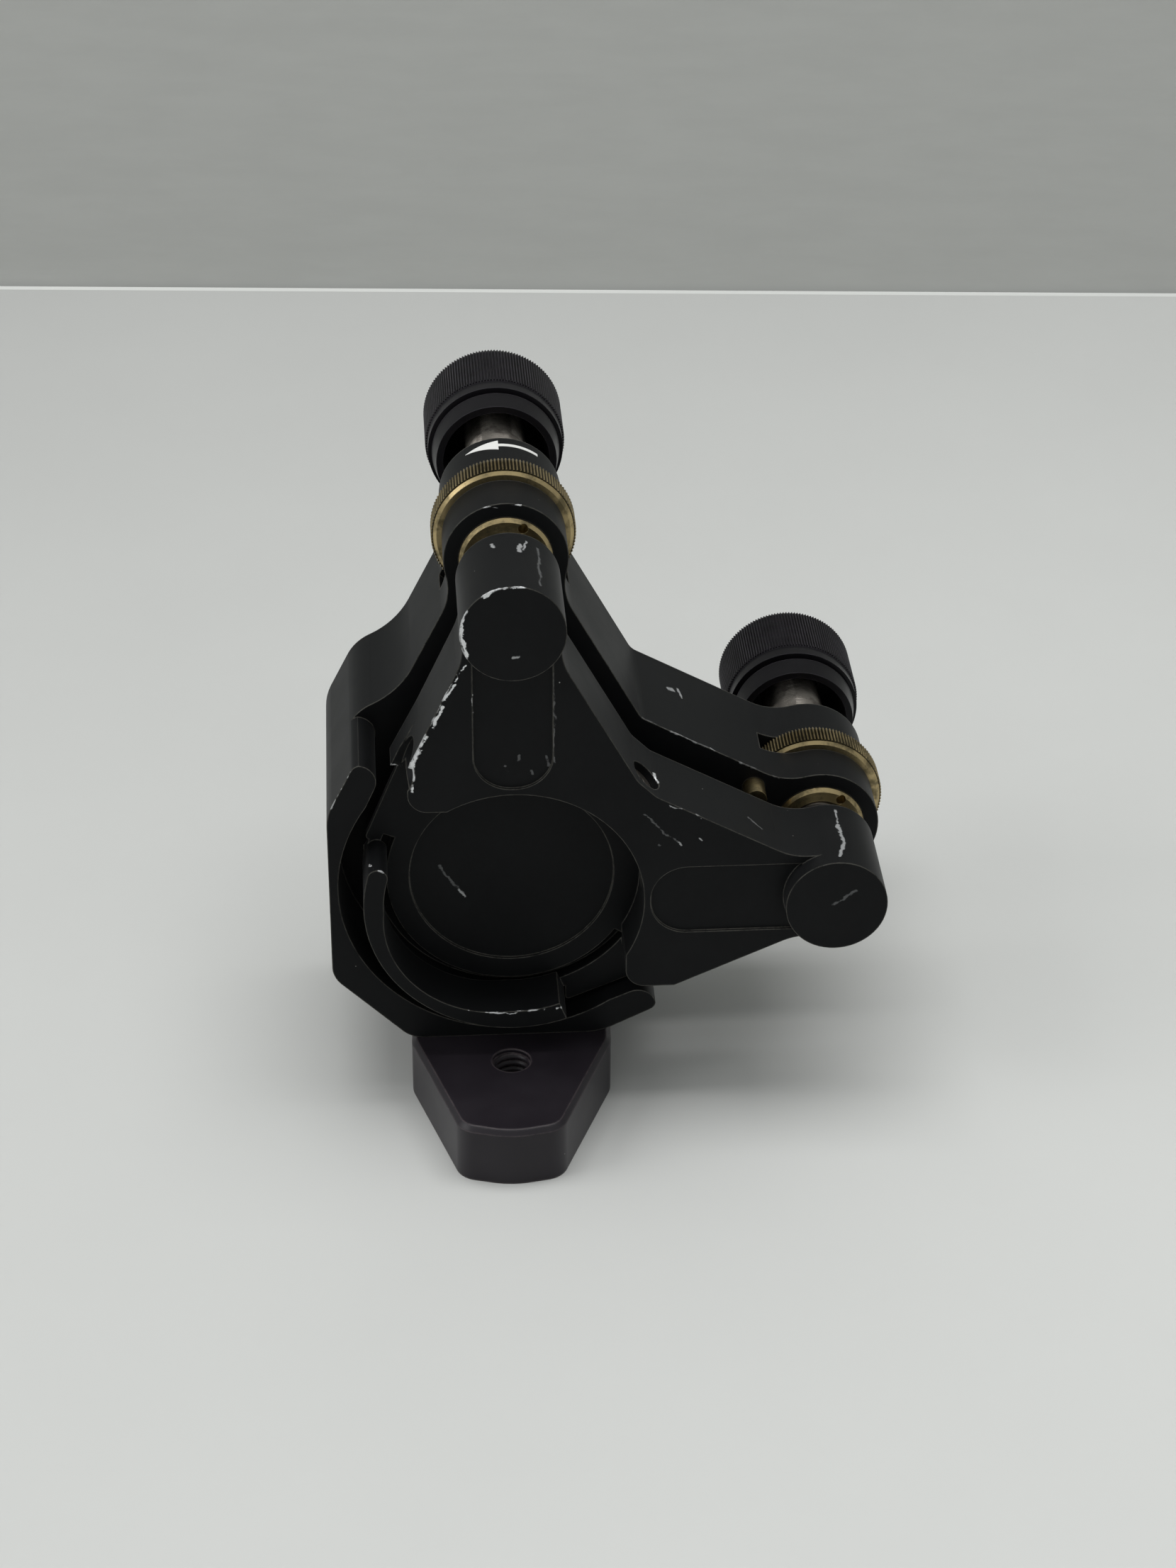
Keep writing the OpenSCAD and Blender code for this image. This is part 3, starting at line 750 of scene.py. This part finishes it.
@dataclass(frozen=True)
class Smooth:
    """Plain moulded or printed surface with a faint grain."""

    name: str
    colour: Colour
    roughness: float = 0.5
    fineness: float = 4.0
    tooth: float = 0.1
    tooth_height: float = 0.04
    paler: float = 1.12

    def material(self) -> bpy.types.Material:
        """Builds the finish.

        Returns:
            The material.
        """
        made, w, shader = new_finish(self.name)
        grain = GRAIN.put(w, Fineness=self.fineness, Depth=1.0)
        pale = tuple(min(1.0, self.paler * c) for c in self.colour)
        shader.inputs["Roughness"].default_value = self.roughness
        w.feed(shader.inputs["Base Color"], w.blend(grain.outputs["Cloud"], self.colour, pale))
        w.feed(shader.inputs["Normal"], w.bump(grain.outputs["Height"], self.tooth, self.tooth_height))
        return made


# ---------------------------------------------------------------- pieces


@dataclass
class ThreadedScrew:
    """Fine-thread adjuster screw with a hollow front end and a hexagon socket at the back."""

    arm: Arm
    reach: float = ADJUSTER_REACH
    radius: float = 3.175
    pitch: float = 0.3175
    depth: float = 0.17
    start: float = 13.1
    end: float = 45.0
    front_chamfer: float = 0.63
    thread_from: float = 0.7
    thread_to: float = 0.5
    back_chamfer: float = 0.4
    back_step: float = 0.12
    back_rim: float = 0.45
    socket_radius: float = 1.39
    socket_mouth: float = 1.06
    socket_lead: float = 0.06
    socket_depth: float = 2.5
    cup_radius: float = 2.42
    cup_centre: float = 11.2
    columns: int = 72
    rows_per_turn: int = 6

    def rows(self) -> Rows:
        """Points of the screw.

        The radius along the thread is the outer radius less half the depth times one minus the
        cosine of the turn plus the place along the axis over the pitch. The front end is hollow,
        a part of a ball round cup_centre. The socket's rows are hexagons: the half width across
        flats over the cosine of the angle from the nearest flat.

        Returns:
            Points shaped (rows, columns, 3), round the Y axis through the origin.
        """
        angle = np.arange(self.columns) * 2 * math.pi / self.columns
        even = np.ones_like(angle)
        cup = math.sqrt(self.cup_radius ** 2 - (self.start - self.cup_centre) ** 2)
        inner = np.linspace(0.02, 1.0, 7)[:, None] * cup
        dome = self.cup_centre + np.sqrt(self.cup_radius ** 2 - inner ** 2)
        along = np.arange(self.start + self.thread_from, self.end - self.thread_to,
                          self.pitch / self.rows_per_turn)
        turn = angle[None, :] + 2 * math.pi * along[:, None] / self.pitch
        thread = self.radius - self.depth / 2 * (1 - np.cos(turn))
        back = np.array([[self.radius - self.back_step], [self.radius - self.back_rim]])
        flats = math.cos(math.pi / 6) / np.cos((angle % (math.pi / 3)) - math.pi / 6)
        socket = self.socket_radius * np.array([[self.socket_mouth], [1.0], [1.0], [0.04]])
        floor = self.end - self.socket_depth
        front = (self.radius - self.front_chamfer) * even[None, :]
        radii = [inner * even, front, thread, back * even, socket * flats]
        places = [dome, [[self.start]], along[:, None], [[self.end - self.back_chamfer], [self.end]],
                  [[self.end], [self.end - self.socket_lead], [floor], [floor]]]
        radius, place = np.concatenate(radii), np.concatenate(places) * even
        return np.stack([radius * np.sin(angle), place, radius * np.cos(angle)], axis=-1)

    def build(self, finish: bpy.types.Material) -> bpy.types.Object:
        """Makes the screw of one arm, which stands for its plain node.

        Args:
            finish: Its material.

        Returns:
            The piece.
        """
        name = self.arm.value
        rows = self.rows() + np.array([0, 0, self.reach])
        piece = grid_mesh(f"{name}_screw_thread", to_arm(rows, self.arm))
        smooth(piece, 40)
        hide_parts(f"{name}_screw")
        return dress(piece, finish, f"{name}_adjuster", "steel")


@dataclass
class CoilSpring:
    """Close-wound extension spring with a loop at each end.

    It is two pieces that meet at a ring in the middle of the coils. Neither is bent, nor tied to a body.
    """

    arm: Arm
    height: float = 20.0
    coil_radius: float = 1.7
    wire_radius: float = 0.33
    loop_radius: float = 1.2
    front_loop: float = 4.11
    back_loop: float = 25.79
    looseness: float = 1.03
    columns: int = 10
    rows_per_turn: int = 28
    loop_rows: int = 40

    def span(self) -> Tuple[float, float, int]:
        """Works out the coils.

        A turn takes the wire's thickness times its looseness, and the turns are an even number.

        Returns:
            First and last places of the coils along the axis, and the number of their turns.
        """
        first, last = self.front_loop + self.loop_radius, self.back_loop - self.loop_radius
        return first, last, 2 * math.floor((last - first) / (4 * self.looseness * self.wire_radius))

    def helix(self) -> Rows:
        """Rings of the coils.

        The path turns at the coil's radius and climbs evenly from the first place to the last.
        Each ring lies in the plane of the outward direction and the axis, which is close to
        square to a path that climbs so little.

        Returns:
            Points shaped (rows, columns, 3), round the Y axis.
        """
        first, last, turns = self.span()
        turn = np.linspace(0, 2 * math.pi * turns, turns * self.rows_per_turn + 1)
        ring = (np.arange(self.columns) * 2 * math.pi / self.columns)[None, :]
        out = self.coil_radius + self.wire_radius * np.cos(ring)
        along = first + (last - first) * (turn / turn[-1])[:, None] + self.wire_radius * np.sin(ring)
        return np.stack([out * np.cos(turn)[:, None], along, out * np.sin(turn)[:, None]], axis=-1)

    def loop(self, centre: float, upright: bool) -> Rows:
        """Rings of the loop that comes off the coils' end and goes round the pin.

        The path is most of a circle of the loop's radius, in a plane through the axis, which
        starts at the coils' end.

        Args:
            centre: Place of the loop's centre along the axis.
            upright: Whether the loop stands in the plane of Y and Z, as the back one does, or
                lies in that of X and Y, as the front one does.

        Returns:
            Points shaped (rows, columns, 3).
        """
        side = 1.0 if centre > (self.front_loop + self.back_loop) / 2 else -1.0
        turn = np.linspace(-0.5 * math.pi, 1.42 * math.pi, self.loop_rows)[:, None]
        ring = (np.arange(self.columns) * 2 * math.pi / self.columns)[None, :]
        radius = self.loop_radius + self.wire_radius * np.cos(ring)
        across = radius * np.cos(turn)
        along = centre + side * radius * np.sin(turn)
        off = self.wire_radius * np.sin(ring) + 0 * turn
        return np.stack([off, along, across] if upright else [across, along, off], axis=-1)

    def half(self, name: str, parts: Sequence[Rows], stretch: Stretch,
             finish: bpy.types.Material) -> bpy.types.Object:
        """Makes one half of the spring.

        Args:
            name: Name of the piece.
            parts: Rings of its coils and of its loop, round the Y axis.
            stretch: Run and bodies that it would bend between; its bend only bakes the piece's place.
            finish: Its material.

        Returns:
            The piece.
        """
        shift = np.array([0, 0, self.height])
        piece = joined(name, [grid_mesh(f"{name}_part", to_arm(part + shift, self.arm)) for part in parts])
        smooth(piece, 60)
        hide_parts(f"{self.arm.value}_spring")
        stretch.bend(piece, self.arm, self.height)
        return coat(piece, finish, "steel")

    def build(self, finish: bpy.types.Material) -> List[bpy.types.Object]:
        """Makes the two halves of one arm's spring, which stand for its plain sleeve.

        Args:
            finish: Their material.

        Returns:
            The front half and the back half.
        """
        name = self.arm.value
        first, last, turns = self.span()
        coils = self.helix()
        middle = turns * self.rows_per_turn // 2
        meeting = (first + last) / 2
        front = [coils[: middle + 1], self.loop(self.front_loop, upright=False)]
        back = [coils[middle:], self.loop(self.back_loop, upright=True)]
        return [
            self.half(f"{name}_spring_front", front, Stretch("pivot", "front", meeting, first), finish),
            self.half(f"{name}_spring_back", back, Stretch("base", "pivot", last, meeting), finish),
        ]


@dataclass
class HoleThread:
    """Thread in the wall of the foot's hole."""

    centre: Tuple[float, float] = (-0.4485, -0.983)
    wall: float = 1.95
    depth: float = 0.26
    pitch: float = 0.79
    bottom: float = -24.55
    top: float = -18.55
    end: float = 0.1
    clear: float = 0.02
    sunk: float = 0.03
    columns: int = 48
    rows_per_turn: int = 10

    def build(self, finish: bpy.types.Material) -> bpy.types.Object:
        """Makes the thread.

        The inner radius is the wall's less half the depth times one plus the cosine of the turn
        plus the height over the pitch. The outer surface is sunk in the wall, and joins the
        inner one at both ends.

        Args:
            finish: Its material.

        Returns:
            The piece.
        """
        angle = np.arange(self.columns) * 2 * math.pi / self.columns
        height = np.arange(self.bottom + self.end, self.top - self.end, self.pitch / self.rows_per_turn)
        height = height[:, None]
        turn = angle[None, :] + 2 * math.pi * height / self.pitch
        inner = self.wall - self.clear - self.depth / 2 * (1 + np.cos(turn))
        even = np.ones((1, self.columns))
        outer = (self.wall + self.sunk) * even
        radius = np.concatenate([outer, inner, outer])
        place = np.concatenate([self.bottom * even, height * even, self.top * even])
        x, y = self.centre
        points = np.stack([x + radius * np.cos(angle), y + radius * np.sin(angle), place], axis=-1)
        piece = grid_mesh("post_hole_thread", points, Ends.JOINED)
        smooth(piece, 50)
        return dress(piece, finish, "base", "anodised_foot")


@dataclass
class TurnArrow:
    """Printed arrow round the top of the rear ear, which shows the way to turn the ring.

    tip, neck and tail are angles in degrees, from straight up towards +X.
    """

    reach: float = ADJUSTER_REACH
    ear: float = 6.1
    place: float = 25.3
    tip: float = -34.0
    neck: float = -1.5
    tail: float = 37.5
    tip_half: float = 0.02
    head_half: float = 0.95
    shaft_half: float = 0.26
    film: float = 0.03
    head_rows: int = 24
    shaft_rows: int = 30

    def build(self, finish: bpy.types.Material) -> bpy.types.Object:
        """Makes the arrow.

        A strip runs round the ear; its half width grows in a straight line over the head, drops
        at the neck and stays even over the shaft. Each ring is the strip's flat cross-section.

        Args:
            finish: Its material.

        Returns:
            The piece.
        """
        head = np.linspace(self.tip, self.neck, self.head_rows)
        shaft = np.linspace(self.neck, self.tail, self.shaft_rows)
        angle = np.radians(np.concatenate([head, shaft]))[:, None]
        widening = self.tip_half + self.head_half * (head - self.tip) / (self.neck - self.tip)
        half = np.concatenate([widening, np.full(self.shaft_rows, self.shaft_half)])[:, None]
        across = np.array([[-1.0, 1.0, 1.0, -1.0]])
        radius = self.ear + self.film * np.array([[1.0, 1.0, -1.0, -1.0]])
        up = self.reach + radius * np.cos(angle)
        points = np.stack([radius * np.sin(angle), self.place + half * across, up], axis=-1)
        piece = grid_mesh("turn_arrow", points)
        return dress(piece, finish, "base", "anodised_plate")


# ---------------------------------------------------------------- the mount


# Worn stretches of the front plate, and two painted highlights drawn as bare metal.
FRONT_WEAR_AND_HIGHLIGHTS = strokes(
    # Left edge of the top arm, from its boss down to the cell
    ((-4.5, 0, 27.4), (-5.4, 0, 25.8), 0.25), ((-5.6, 0, 25.4), (-6.4, 0, 23.7), 0.42),
    ((-6.7, 0, 22.9), (-7.7, 0, 20.7), 0.4), ((-8.2, 0, 19.6), (-9.0, 0, 18.0), 0.46),
    ((-9.0, 0, 18.0), (-9.7, 0, 16.6), 0.55), ((-9.7, 0, 16.6), (-9.7, 0, 15.0), 0.42),
    ((-9.7, 0, 14.2), (-9.9, 0, 13.1), 0.26),
    # Rim of the top boss
    ((-4.5, -1.9, 34.1), (-4.9, -1.9, 31.9), 0.42), ((-4.9, -1.9, 31.9), (-4.3, -1.9, 29.6), 0.46),
    ((-2.7, -1.9, 35.9), (-1.7, -1.9, 36.5), 0.45), ((-1.7, -1.9, 36.6), (1.2, -1.9, 36.8), 0.2),
    # Upper end of the lip, and above it beside the port
    ((-14.2, 1.6, 4.3), (-13.8, 0.7, 4.6), 0.45), ((-13.2, 0, 4.8), (-12.9, 0, 4.4), 0.35),
    ((-11.6, 5.6, 13.2), (-10.7, 5.6, 13.3), 0.25),
    # Painted highlight along the inner edge of the lowest stretch of the lip, drawn as bare metal
    ((-4.6, 0, -12.5), (0.0, 0, -13.2), 0.15), ((0.0, 0, -13.2), (4.9, 0, -12.5), 0.17),
    # Painted highlight on the right rim of the clamp hole's mouth, drawn as bare metal, and the worn left
    # edge of the top pocket
    ((14.1, 4.4, 12.1), (14.3, 3.2, 11.9), 0.35), ((-3.75, 0.1, 26.4), (-3.8, 0.1, 21.5), 0.15))
FRONT_SCRATCHES = strokes(
    # Seat of the optic
    ((-5.4, 5.9, -1.7), (-4.7, 5.9, -2.7), 0.24),
    # Flank of the right boss
    ((32.5, 7.8, 5.0), (32.4, 5.0, 5.0), 0.26), ((32.4, 5.0, 5.0), (32.7, 1.7, 5.0), 0.38),
    ((32.7, 1.7, 5.0), (32.1, -0.7, 5.0), 0.34),
    # Flank and face of the top boss
    ((-1.6, 7.0, 36.6), (-1.4, 6.3, 36.6), 0.4), ((1.1, 6.6, 36.7), (0.9, 5.2, 36.7), 0.4),
    ((1.8, 7.4, 36.5), (1.3, 5.7, 36.6), 0.22), ((-0.2, -1.9, 29.1), (0.4, -1.9, 29.3), 0.26),
    # Face of the right arm
    ((16.1, 0, 6.7), (16.3, 0, 6.4), 0.18), ((18.1, 0, 7.3), (18.3, 0, 7.0), 0.16),
    ((15.1, 0, 11.1), (16.8, 0, 10.5), 0.17), ((16.8, 0, 10.5), (18.4, 0, 9.6), 0.14))
FRONT_SMEARS = strokes(
    # Seat of the optic, and the face beside it
    ((-7.2, 5.9, 0.9), (-4.7, 5.9, -2.7), 0.3), ((14.2, 0, 6.6), (14.4, 0, 6.5), 0.26),
    # Face of the right boss, and the root of its arm
    ((31.4, -1.9, 0.2), (33.6, -1.9, 1.6), 0.3), ((12.7, 0, 10.1), (16.0, 0, 6.8), 0.2),
    # Right edge and lower end of the top pocket
    ((3.9, 0, 26.3), (3.9, 0, 16.4), 0.22), ((3.2, 0.3, 16.8), (3.2, 0.3, 15.8), 0.3),
    # Flank of the top boss, and the upper flank of the right arm
    ((2.7, 7.1, 36.0), (2.7, -0.3, 36.0), 0.3), ((23.4, 3.9, 6.9), (24.7, 3.0, 6.2), 0.3),
    # Floor of the top pocket
    ((0.5, 0.3, 17.0), (0.5, 0.3, 16.6), 0.3), ((-0.7, 0.3, 15.8), (-0.4, 0.3, 15.4), 0.3),
    ((1.8, 0.3, 15.3), (1.9, 0.3, 15.0), 0.3))
BACK_WEAR_AND_HIGHLIGHTS = strokes(
    # Worn edge of the band at the upper left, and a painted highlight, drawn as bare metal, along the front
    # edge of the top arm's end
    ((-15.9, 3.5, 13.9), (-16.9, 3.5, 12.0), 0.4), ((-16.9, 3.5, 12.0), (-17.8, 3.5, 10.0), 0.45),
    ((-2.3, 12.8, 37.4), (1.6, 12.8, 37.6), 0.1))
BACK_SCRATCHES = strokes(
    # Upper flank of the right arm, and its front edge
    ((16.9, 21.7, 11.4), (17.3, 21.9, 11.2), 0.5), ((17.9, 22.6, 10.9), (18.2, 21.0, 10.8), 0.3),
    ((16.4, 12.8, 11.8), (19.0, 12.8, 10.4), 0.24), ((20.4, 12.8, 9.6), (23.5, 12.8, 7.9), 0.22))
BACK_SMEARS = strokes(
    # Front edge of the right arm
    ((13.6, 12.8, 13.4), (27.4, 12.8, 5.9), 0.3))


@dataclass
class Finishes:
    """All materials of the mount, each built once."""

    dye: Colour = (0.0042, 0.0045, 0.0050)
    cloud: Colour = (0.0062, 0.0066, 0.0071)
    made: Dict[str, bpy.types.Material] = field(default_factory=dict)

    def build(self) -> None:
        """Builds every finish; the knobs', brass and turned steel once for each adjuster's axis."""
        single = {
            "front": Anodised("front plate dye", self.dye, self.cloud, rubbed=0.02, worn=FRONT_WEAR_AND_HIGHLIGHTS,
                              scratches=FRONT_SCRATCHES, smears=FRONT_SMEARS),
            # The back plate's stronger edge line is faint wear and painted highlight.
            "back": Anodised("back plate dye", self.dye, self.cloud, rubbed=0.03, line=1.2, dust=1.2,
                             worn=BACK_WEAR_AND_HIGHLIGHTS, scratches=BACK_SCRATCHES, smears=BACK_SMEARS),
            # The foot's edge colour is that of its paler edge line, which is faint wear and painted
            # highlight.
            "foot": Anodised("foot dye", (0.0125, 0.0100, 0.0135), (0.0170, 0.0140, 0.0182), roughness=0.36,
                             specular=0.3, edge_radius=0.35, dust=0.7, edge_wear_and_highlight_tone=(0.11, 0.09, 0.095)),
            "nylon": Smooth("nylon", (0.62, 0.6, 0.54)),
            "ink": Smooth("white print", (0.72, 0.72, 0.70), roughness=0.55),
            "ground": Turned("ground steel", (0.5, 0.5, 0.49), (0.35, 0.34, 0.33), (0, 0, 0), roughness=0.16,
                             rings=5.0, share=0.2),
        }
        self.made = {name: finish.material() for name, finish in single.items()}
        for side, axis in (("top", (0.0, 0.0, ADJUSTER_REACH)), ("right", (ADJUSTER_REACH, 0.0, 0.0))):
            # The knob's edge colour is that of its paler edge line, which is faint wear and painted
            # highlight. Its axis places the painted shade in its knurl's grooves.
            knob = Anodised(f"{side} knob dye", (0.0045, 0.0041, 0.0052), (0.0068, 0.0062, 0.0078),
                            roughness=0.3, specular=0.14, edge_radius=0.08, rubbed=-0.1, line=0.7, dust=1.4,
                            edge_wear_and_highlight_tone=(0.11, 0.10, 0.12), axis=axis)
            # The brass ring's tip places the painted shade in its knurl's grooves.
            brass = Turned(f"{side} brass", (0.44, 0.345, 0.18), (0.165, 0.135, 0.075), axis, tip=7.15)
            steel = Turned(f"{side} steel", (0.25, 0.23, 0.205), (0.135, 0.12, 0.108), axis, roughness=0.38,
                           rings=3.0, share=0.5)
            for name, finish in (("knob", knob), ("brass", brass), ("steel", steel)):
                self.made[f"{side}_{name}"] = finish.material()

    def of_node(self, node: str) -> bpy.types.Material:
        """Finish of one node of the model, by its name.

        Args:
            node: The node's name.

        Returns:
            Its material.
        """
        side = "right" if node.startswith("right") or node == "tilt_stop" else "top"
        if "bushing" in node or "lock_ring" in node or node == "tilt_stop":
            return self.made[f"{side}_brass"]
        if node.endswith("knob"):
            return self.made[f"{side}_knob"]
        if node == "clamp_tip":
            return self.made["nylon"]
        if node in ("front_plate", "back_plate", "foot"):
            return self.made[node.split("_")[0]]
        if "screw" in node or "pin" in node or "spring" in node:
            return self.made[f"{side}_steel"]
        return self.made["ground"]


@dataclass
class MirrorMount:
    """The whole mount: the nodes that stay, and the pieces that are made here."""

    finishes: Finishes = field(default_factory=Finishes)

    def build(self, nodes: Dict[str, bpy.types.Object]) -> List[bpy.types.Object]:
        """Dresses the nodes and adds the new pieces.

        Args:
            nodes: The model's nodes by name.

        Returns:
            The new pieces.
        """
        self.finishes.build()
        for name, node in nodes.items():
            for slot in node.material_slots:
                slot.material = self.finishes.of_node(name)
            LOG.info("%s: %s", name, self.finishes.of_node(name).name)
        made = self.finishes.made
        pieces = [HoleThread().build(made["foot"]), TurnArrow().build(made["ink"])]
        for arm in Arm:
            pieces.append(ThreadedScrew(arm).build(made[f"{arm.value}_steel"]))
            pieces.extend(CoilSpring(arm).build(made[f"{arm.value}_steel"]))
        return pieces


# ---------------------------------------------------------------- studio


@dataclass
class Studio:
    """Pale table, wall, soft lamps and the camera.

    heading, tilt and roll are degrees; focal and frame_height are pixels.
    """

    floor: float = -24.6
    edge: float = 203.7
    edge_lean: float = -0.0692
    # Width of the painted highlight strip along the back edge.
    rim: float = 1.2
    half_width: float = 1500.0
    table_depth: float = 1100.0
    wall_gap: float = 1.0
    wall_below: float = 60.0
    wall_top: float = 700.0
    table: Colour = (0.655, 0.661, 0.647)
    # Colour of the painted highlight along the table's back edge.
    table_edge_highlight: Colour = (0.74, 0.75, 0.73)
    wall: Colour = (0.480, 0.485, 0.467)
    room: Colour = (0.9, 0.93, 0.92)
    room_strength: float = 0.5
    camera_place: Point = (-12.45, -285.89, 193.03)
    heading: float = 3.933
    tilt: float = 32.016
    roll: float = 0.339
    focal: float = 4937.7
    frame_height: float = 2212.0

    def plane(self, name: str, corners: Rows, finish: bpy.types.Material) -> None:
        """Makes one flat sheet of the set.

        Args:
            name: Name of the sheet.
            corners: Its corners in millimetres, shaped (corners, 3).
            finish: Its material.
        """
        mesh = bpy.data.meshes.new(name)
        mesh.from_pydata((corners * MM).tolist(), [], [list(range(len(corners)))])
        sheet = bpy.data.objects.new(name, mesh)
        bpy.context.scene.collection.objects.link(sheet)
        mesh.materials.append(finish)

    def strip(self, near: float, far: float, low: float, high: float) -> Rows:
        """Corners of a sheet along the table's back edge.

        Args:
            near: Distance of its near side in front of the edge, or behind it if negative.
            far: The same for its far side.
            low: Height of the near side.
            high: Height of the far side.

        Returns:
            Four corners, with the edge's line as y equal to edge plus edge_lean times x.
        """
        x = self.half_width * np.array([-1.0, 1.0, 1.0, -1.0])
        y = self.edge + self.edge_lean * x - np.array([near, near, far, far])
        return np.stack([x, y, np.array([low, low, high, high])], axis=-1)

    def table_sheet(self) -> None:
        """Makes the table, with painted shade that darkens it towards its left and its far side, and faint
        clouds.
        """
        finish, w, shader = new_finish("table")
        x, y, _ = w.parts(w.place())
        # Painted light falloff: darker towards the left and towards the far side.
        across = w.between(x, low=-200.0, high=200.0, out_low=0.84, out_high=1.02)
        away = w.between(y, low=20.0, high=260.0, out_low=1.0, out_high=0.87)
        noise = w.noise(w.place(), scale=0.02, detail=3.0, roughness=0.6)
        clouds = w.between(noise, low=0.2, high=0.8, out_low=0.985, out_high=1.015)
        falloff_and_clouds = w.math("MULTIPLY", w.math("MULTIPLY", across, away), clouds)
        w.feed(shader.inputs["Base Color"], w.scaled(self.table, falloff_and_clouds))
        shader.inputs["Roughness"].default_value = 0.42
        self.plane("table_top", self.strip(self.table_depth, self.rim, self.floor, self.floor), finish)

    def edge_highlight_sheet(self) -> None:
        """Makes a pale strip along the table's back edge, a painted highlight of the light caught by that
        edge.
        """
        finish, w, shader = new_finish("table edge highlight")
        w.feed(shader.inputs["Base Color"], self.table_edge_highlight)
        self.plane("table_edge_highlight", self.strip(self.rim, 0.0, self.floor, self.floor), finish)

    def wall_sheet(self) -> None:
        """Makes the brushed wall behind the table, which is clear from its back."""
        finish, w, shader = new_finish("wall")
        drawn = w.vector("MULTIPLY", w.place(), (0.01, 1.0, 0.35)).outputs[0]
        noise = w.noise(drawn, scale=1.0, detail=4.0, roughness=0.6)
        brushed = w.between(noise, low=0.25, high=0.75, out_low=0.975, out_high=1.02)
        w.feed(shader.inputs["Base Color"], w.scaled(self.wall, brushed))
        shader.inputs["Roughness"].default_value = 0.8
        behind = w.add("ShaderNodeNewGeometry").outputs["Backfacing"]
        clear = w.add("ShaderNodeBsdfTransparent").outputs[0]
        seen = w.add("ShaderNodeMixShader", {0: behind, 1: shader.outputs[0], 2: clear})
        w.feed(finish.node_tree.get_output_node("ALL").inputs[0], seen.outputs[0])
        low = self.floor - self.wall_below
        self.plane("wall_sheet", self.strip(-self.wall_gap, -self.wall_gap, low, self.wall_top), finish)

    def lamp(self, name: str, place: Point, size: Tuple[float, float], power: float) -> None:
        """Adds one soft rectangular lamp that looks at the origin.

        Its back points from the origin to its place, and its side is square to that and to Y.

        Args:
            name: Name of the lamp.
            place: Its middle, in millimetres.
            size: Its two sides, in millimetres.
            power: Its power in watts.
        """
        data = bpy.data.lights.new(name, "AREA")
        data.shape, data.size, data.size_y, data.energy = "RECTANGLE", size[0] * MM, size[1] * MM, power
        lamp = bpy.data.objects.new(name, data)
        bpy.context.scene.collection.objects.link(lamp)
        back = np.array(place) / np.linalg.norm(place)
        side = np.cross([0.0, 1.0, 0.0], back)
        side = side / np.linalg.norm(side)
        matrix = np.eye(4)
        matrix[:3, :3] = np.column_stack([side, np.cross(back, side), back])
        matrix[:3, 3] = np.array(place) * MM
        lamp.matrix_world = Matrix(matrix.tolist())

    def light(self) -> None:
        """Adds the lamps and the even light of the room."""
        self.lamp("ceiling_lamp", (60.0, 120.0, 900.0), size=(900.0, 500.0), power=6.8)
        self.lamp("left_lamp", (-700.0, -100.0, 500.0), size=(500.0, 400.0), power=1.9)
        world = bpy.data.worlds.new("room")
        world.use_nodes = True
        w = Wiring(world.node_tree)
        room = w.add("ShaderNodeBackground", {"Color": self.room, "Strength": self.room_strength})
        w.add("ShaderNodeOutputWorld", {0: room.outputs[0]})
        bpy.context.scene.world = world

    def camera(self) -> None:
        """Adds the camera.

        The forward direction comes from the heading from +Y towards +X and the tilt down; the
        right direction is level, then rolled about the forward direction. The lens is the focal
        length in pixels times the sensor's width over the frame's longer side.
        """
        heading, tilt, roll = (math.radians(angle) for angle in (self.heading, self.tilt, self.roll))
        flat = math.cos(tilt)
        ahead = np.array([math.sin(heading) * flat, math.cos(heading) * flat, -math.sin(tilt)])
        level = np.array([math.cos(heading), -math.sin(heading), 0.0])
        above = np.cross(level, ahead)
        right = math.cos(roll) * level + math.sin(roll) * above
        data = bpy.data.cameras.new("camera")
        data.sensor_fit = "AUTO"
        data.sensor_width = 36.0
        data.lens = self.focal * data.sensor_width / self.frame_height
        data.clip_start, data.clip_end = 0.01, 20.0
        camera = bpy.data.objects.new("camera", data)
        bpy.context.scene.collection.objects.link(camera)
        matrix = np.eye(4)
        matrix[:3, :3] = np.column_stack([right, np.cross(right, ahead), -ahead])
        matrix[:3, 3] = np.array(self.camera_place) * MM
        camera.matrix_world = Matrix(matrix.tolist())
        bpy.context.scene.camera = camera

    def build(self) -> None:
        """Builds the set."""
        self.table_sheet()
        self.edge_highlight_sheet()
        self.wall_sheet()
        self.light()
        self.camera()
        bpy.context.scene.view_settings.view_transform = "Standard"


def main() -> None:
    """Loads the model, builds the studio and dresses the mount."""
    logging.basicConfig(level=logging.INFO, format="%(name)s: %(message)s")
    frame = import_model()
    Studio().build()
    pieces = MirrorMount().build(frame["nodes"])
    LOG.info("%d new pieces", len(pieces))


if __name__ == "__main__":
    main()
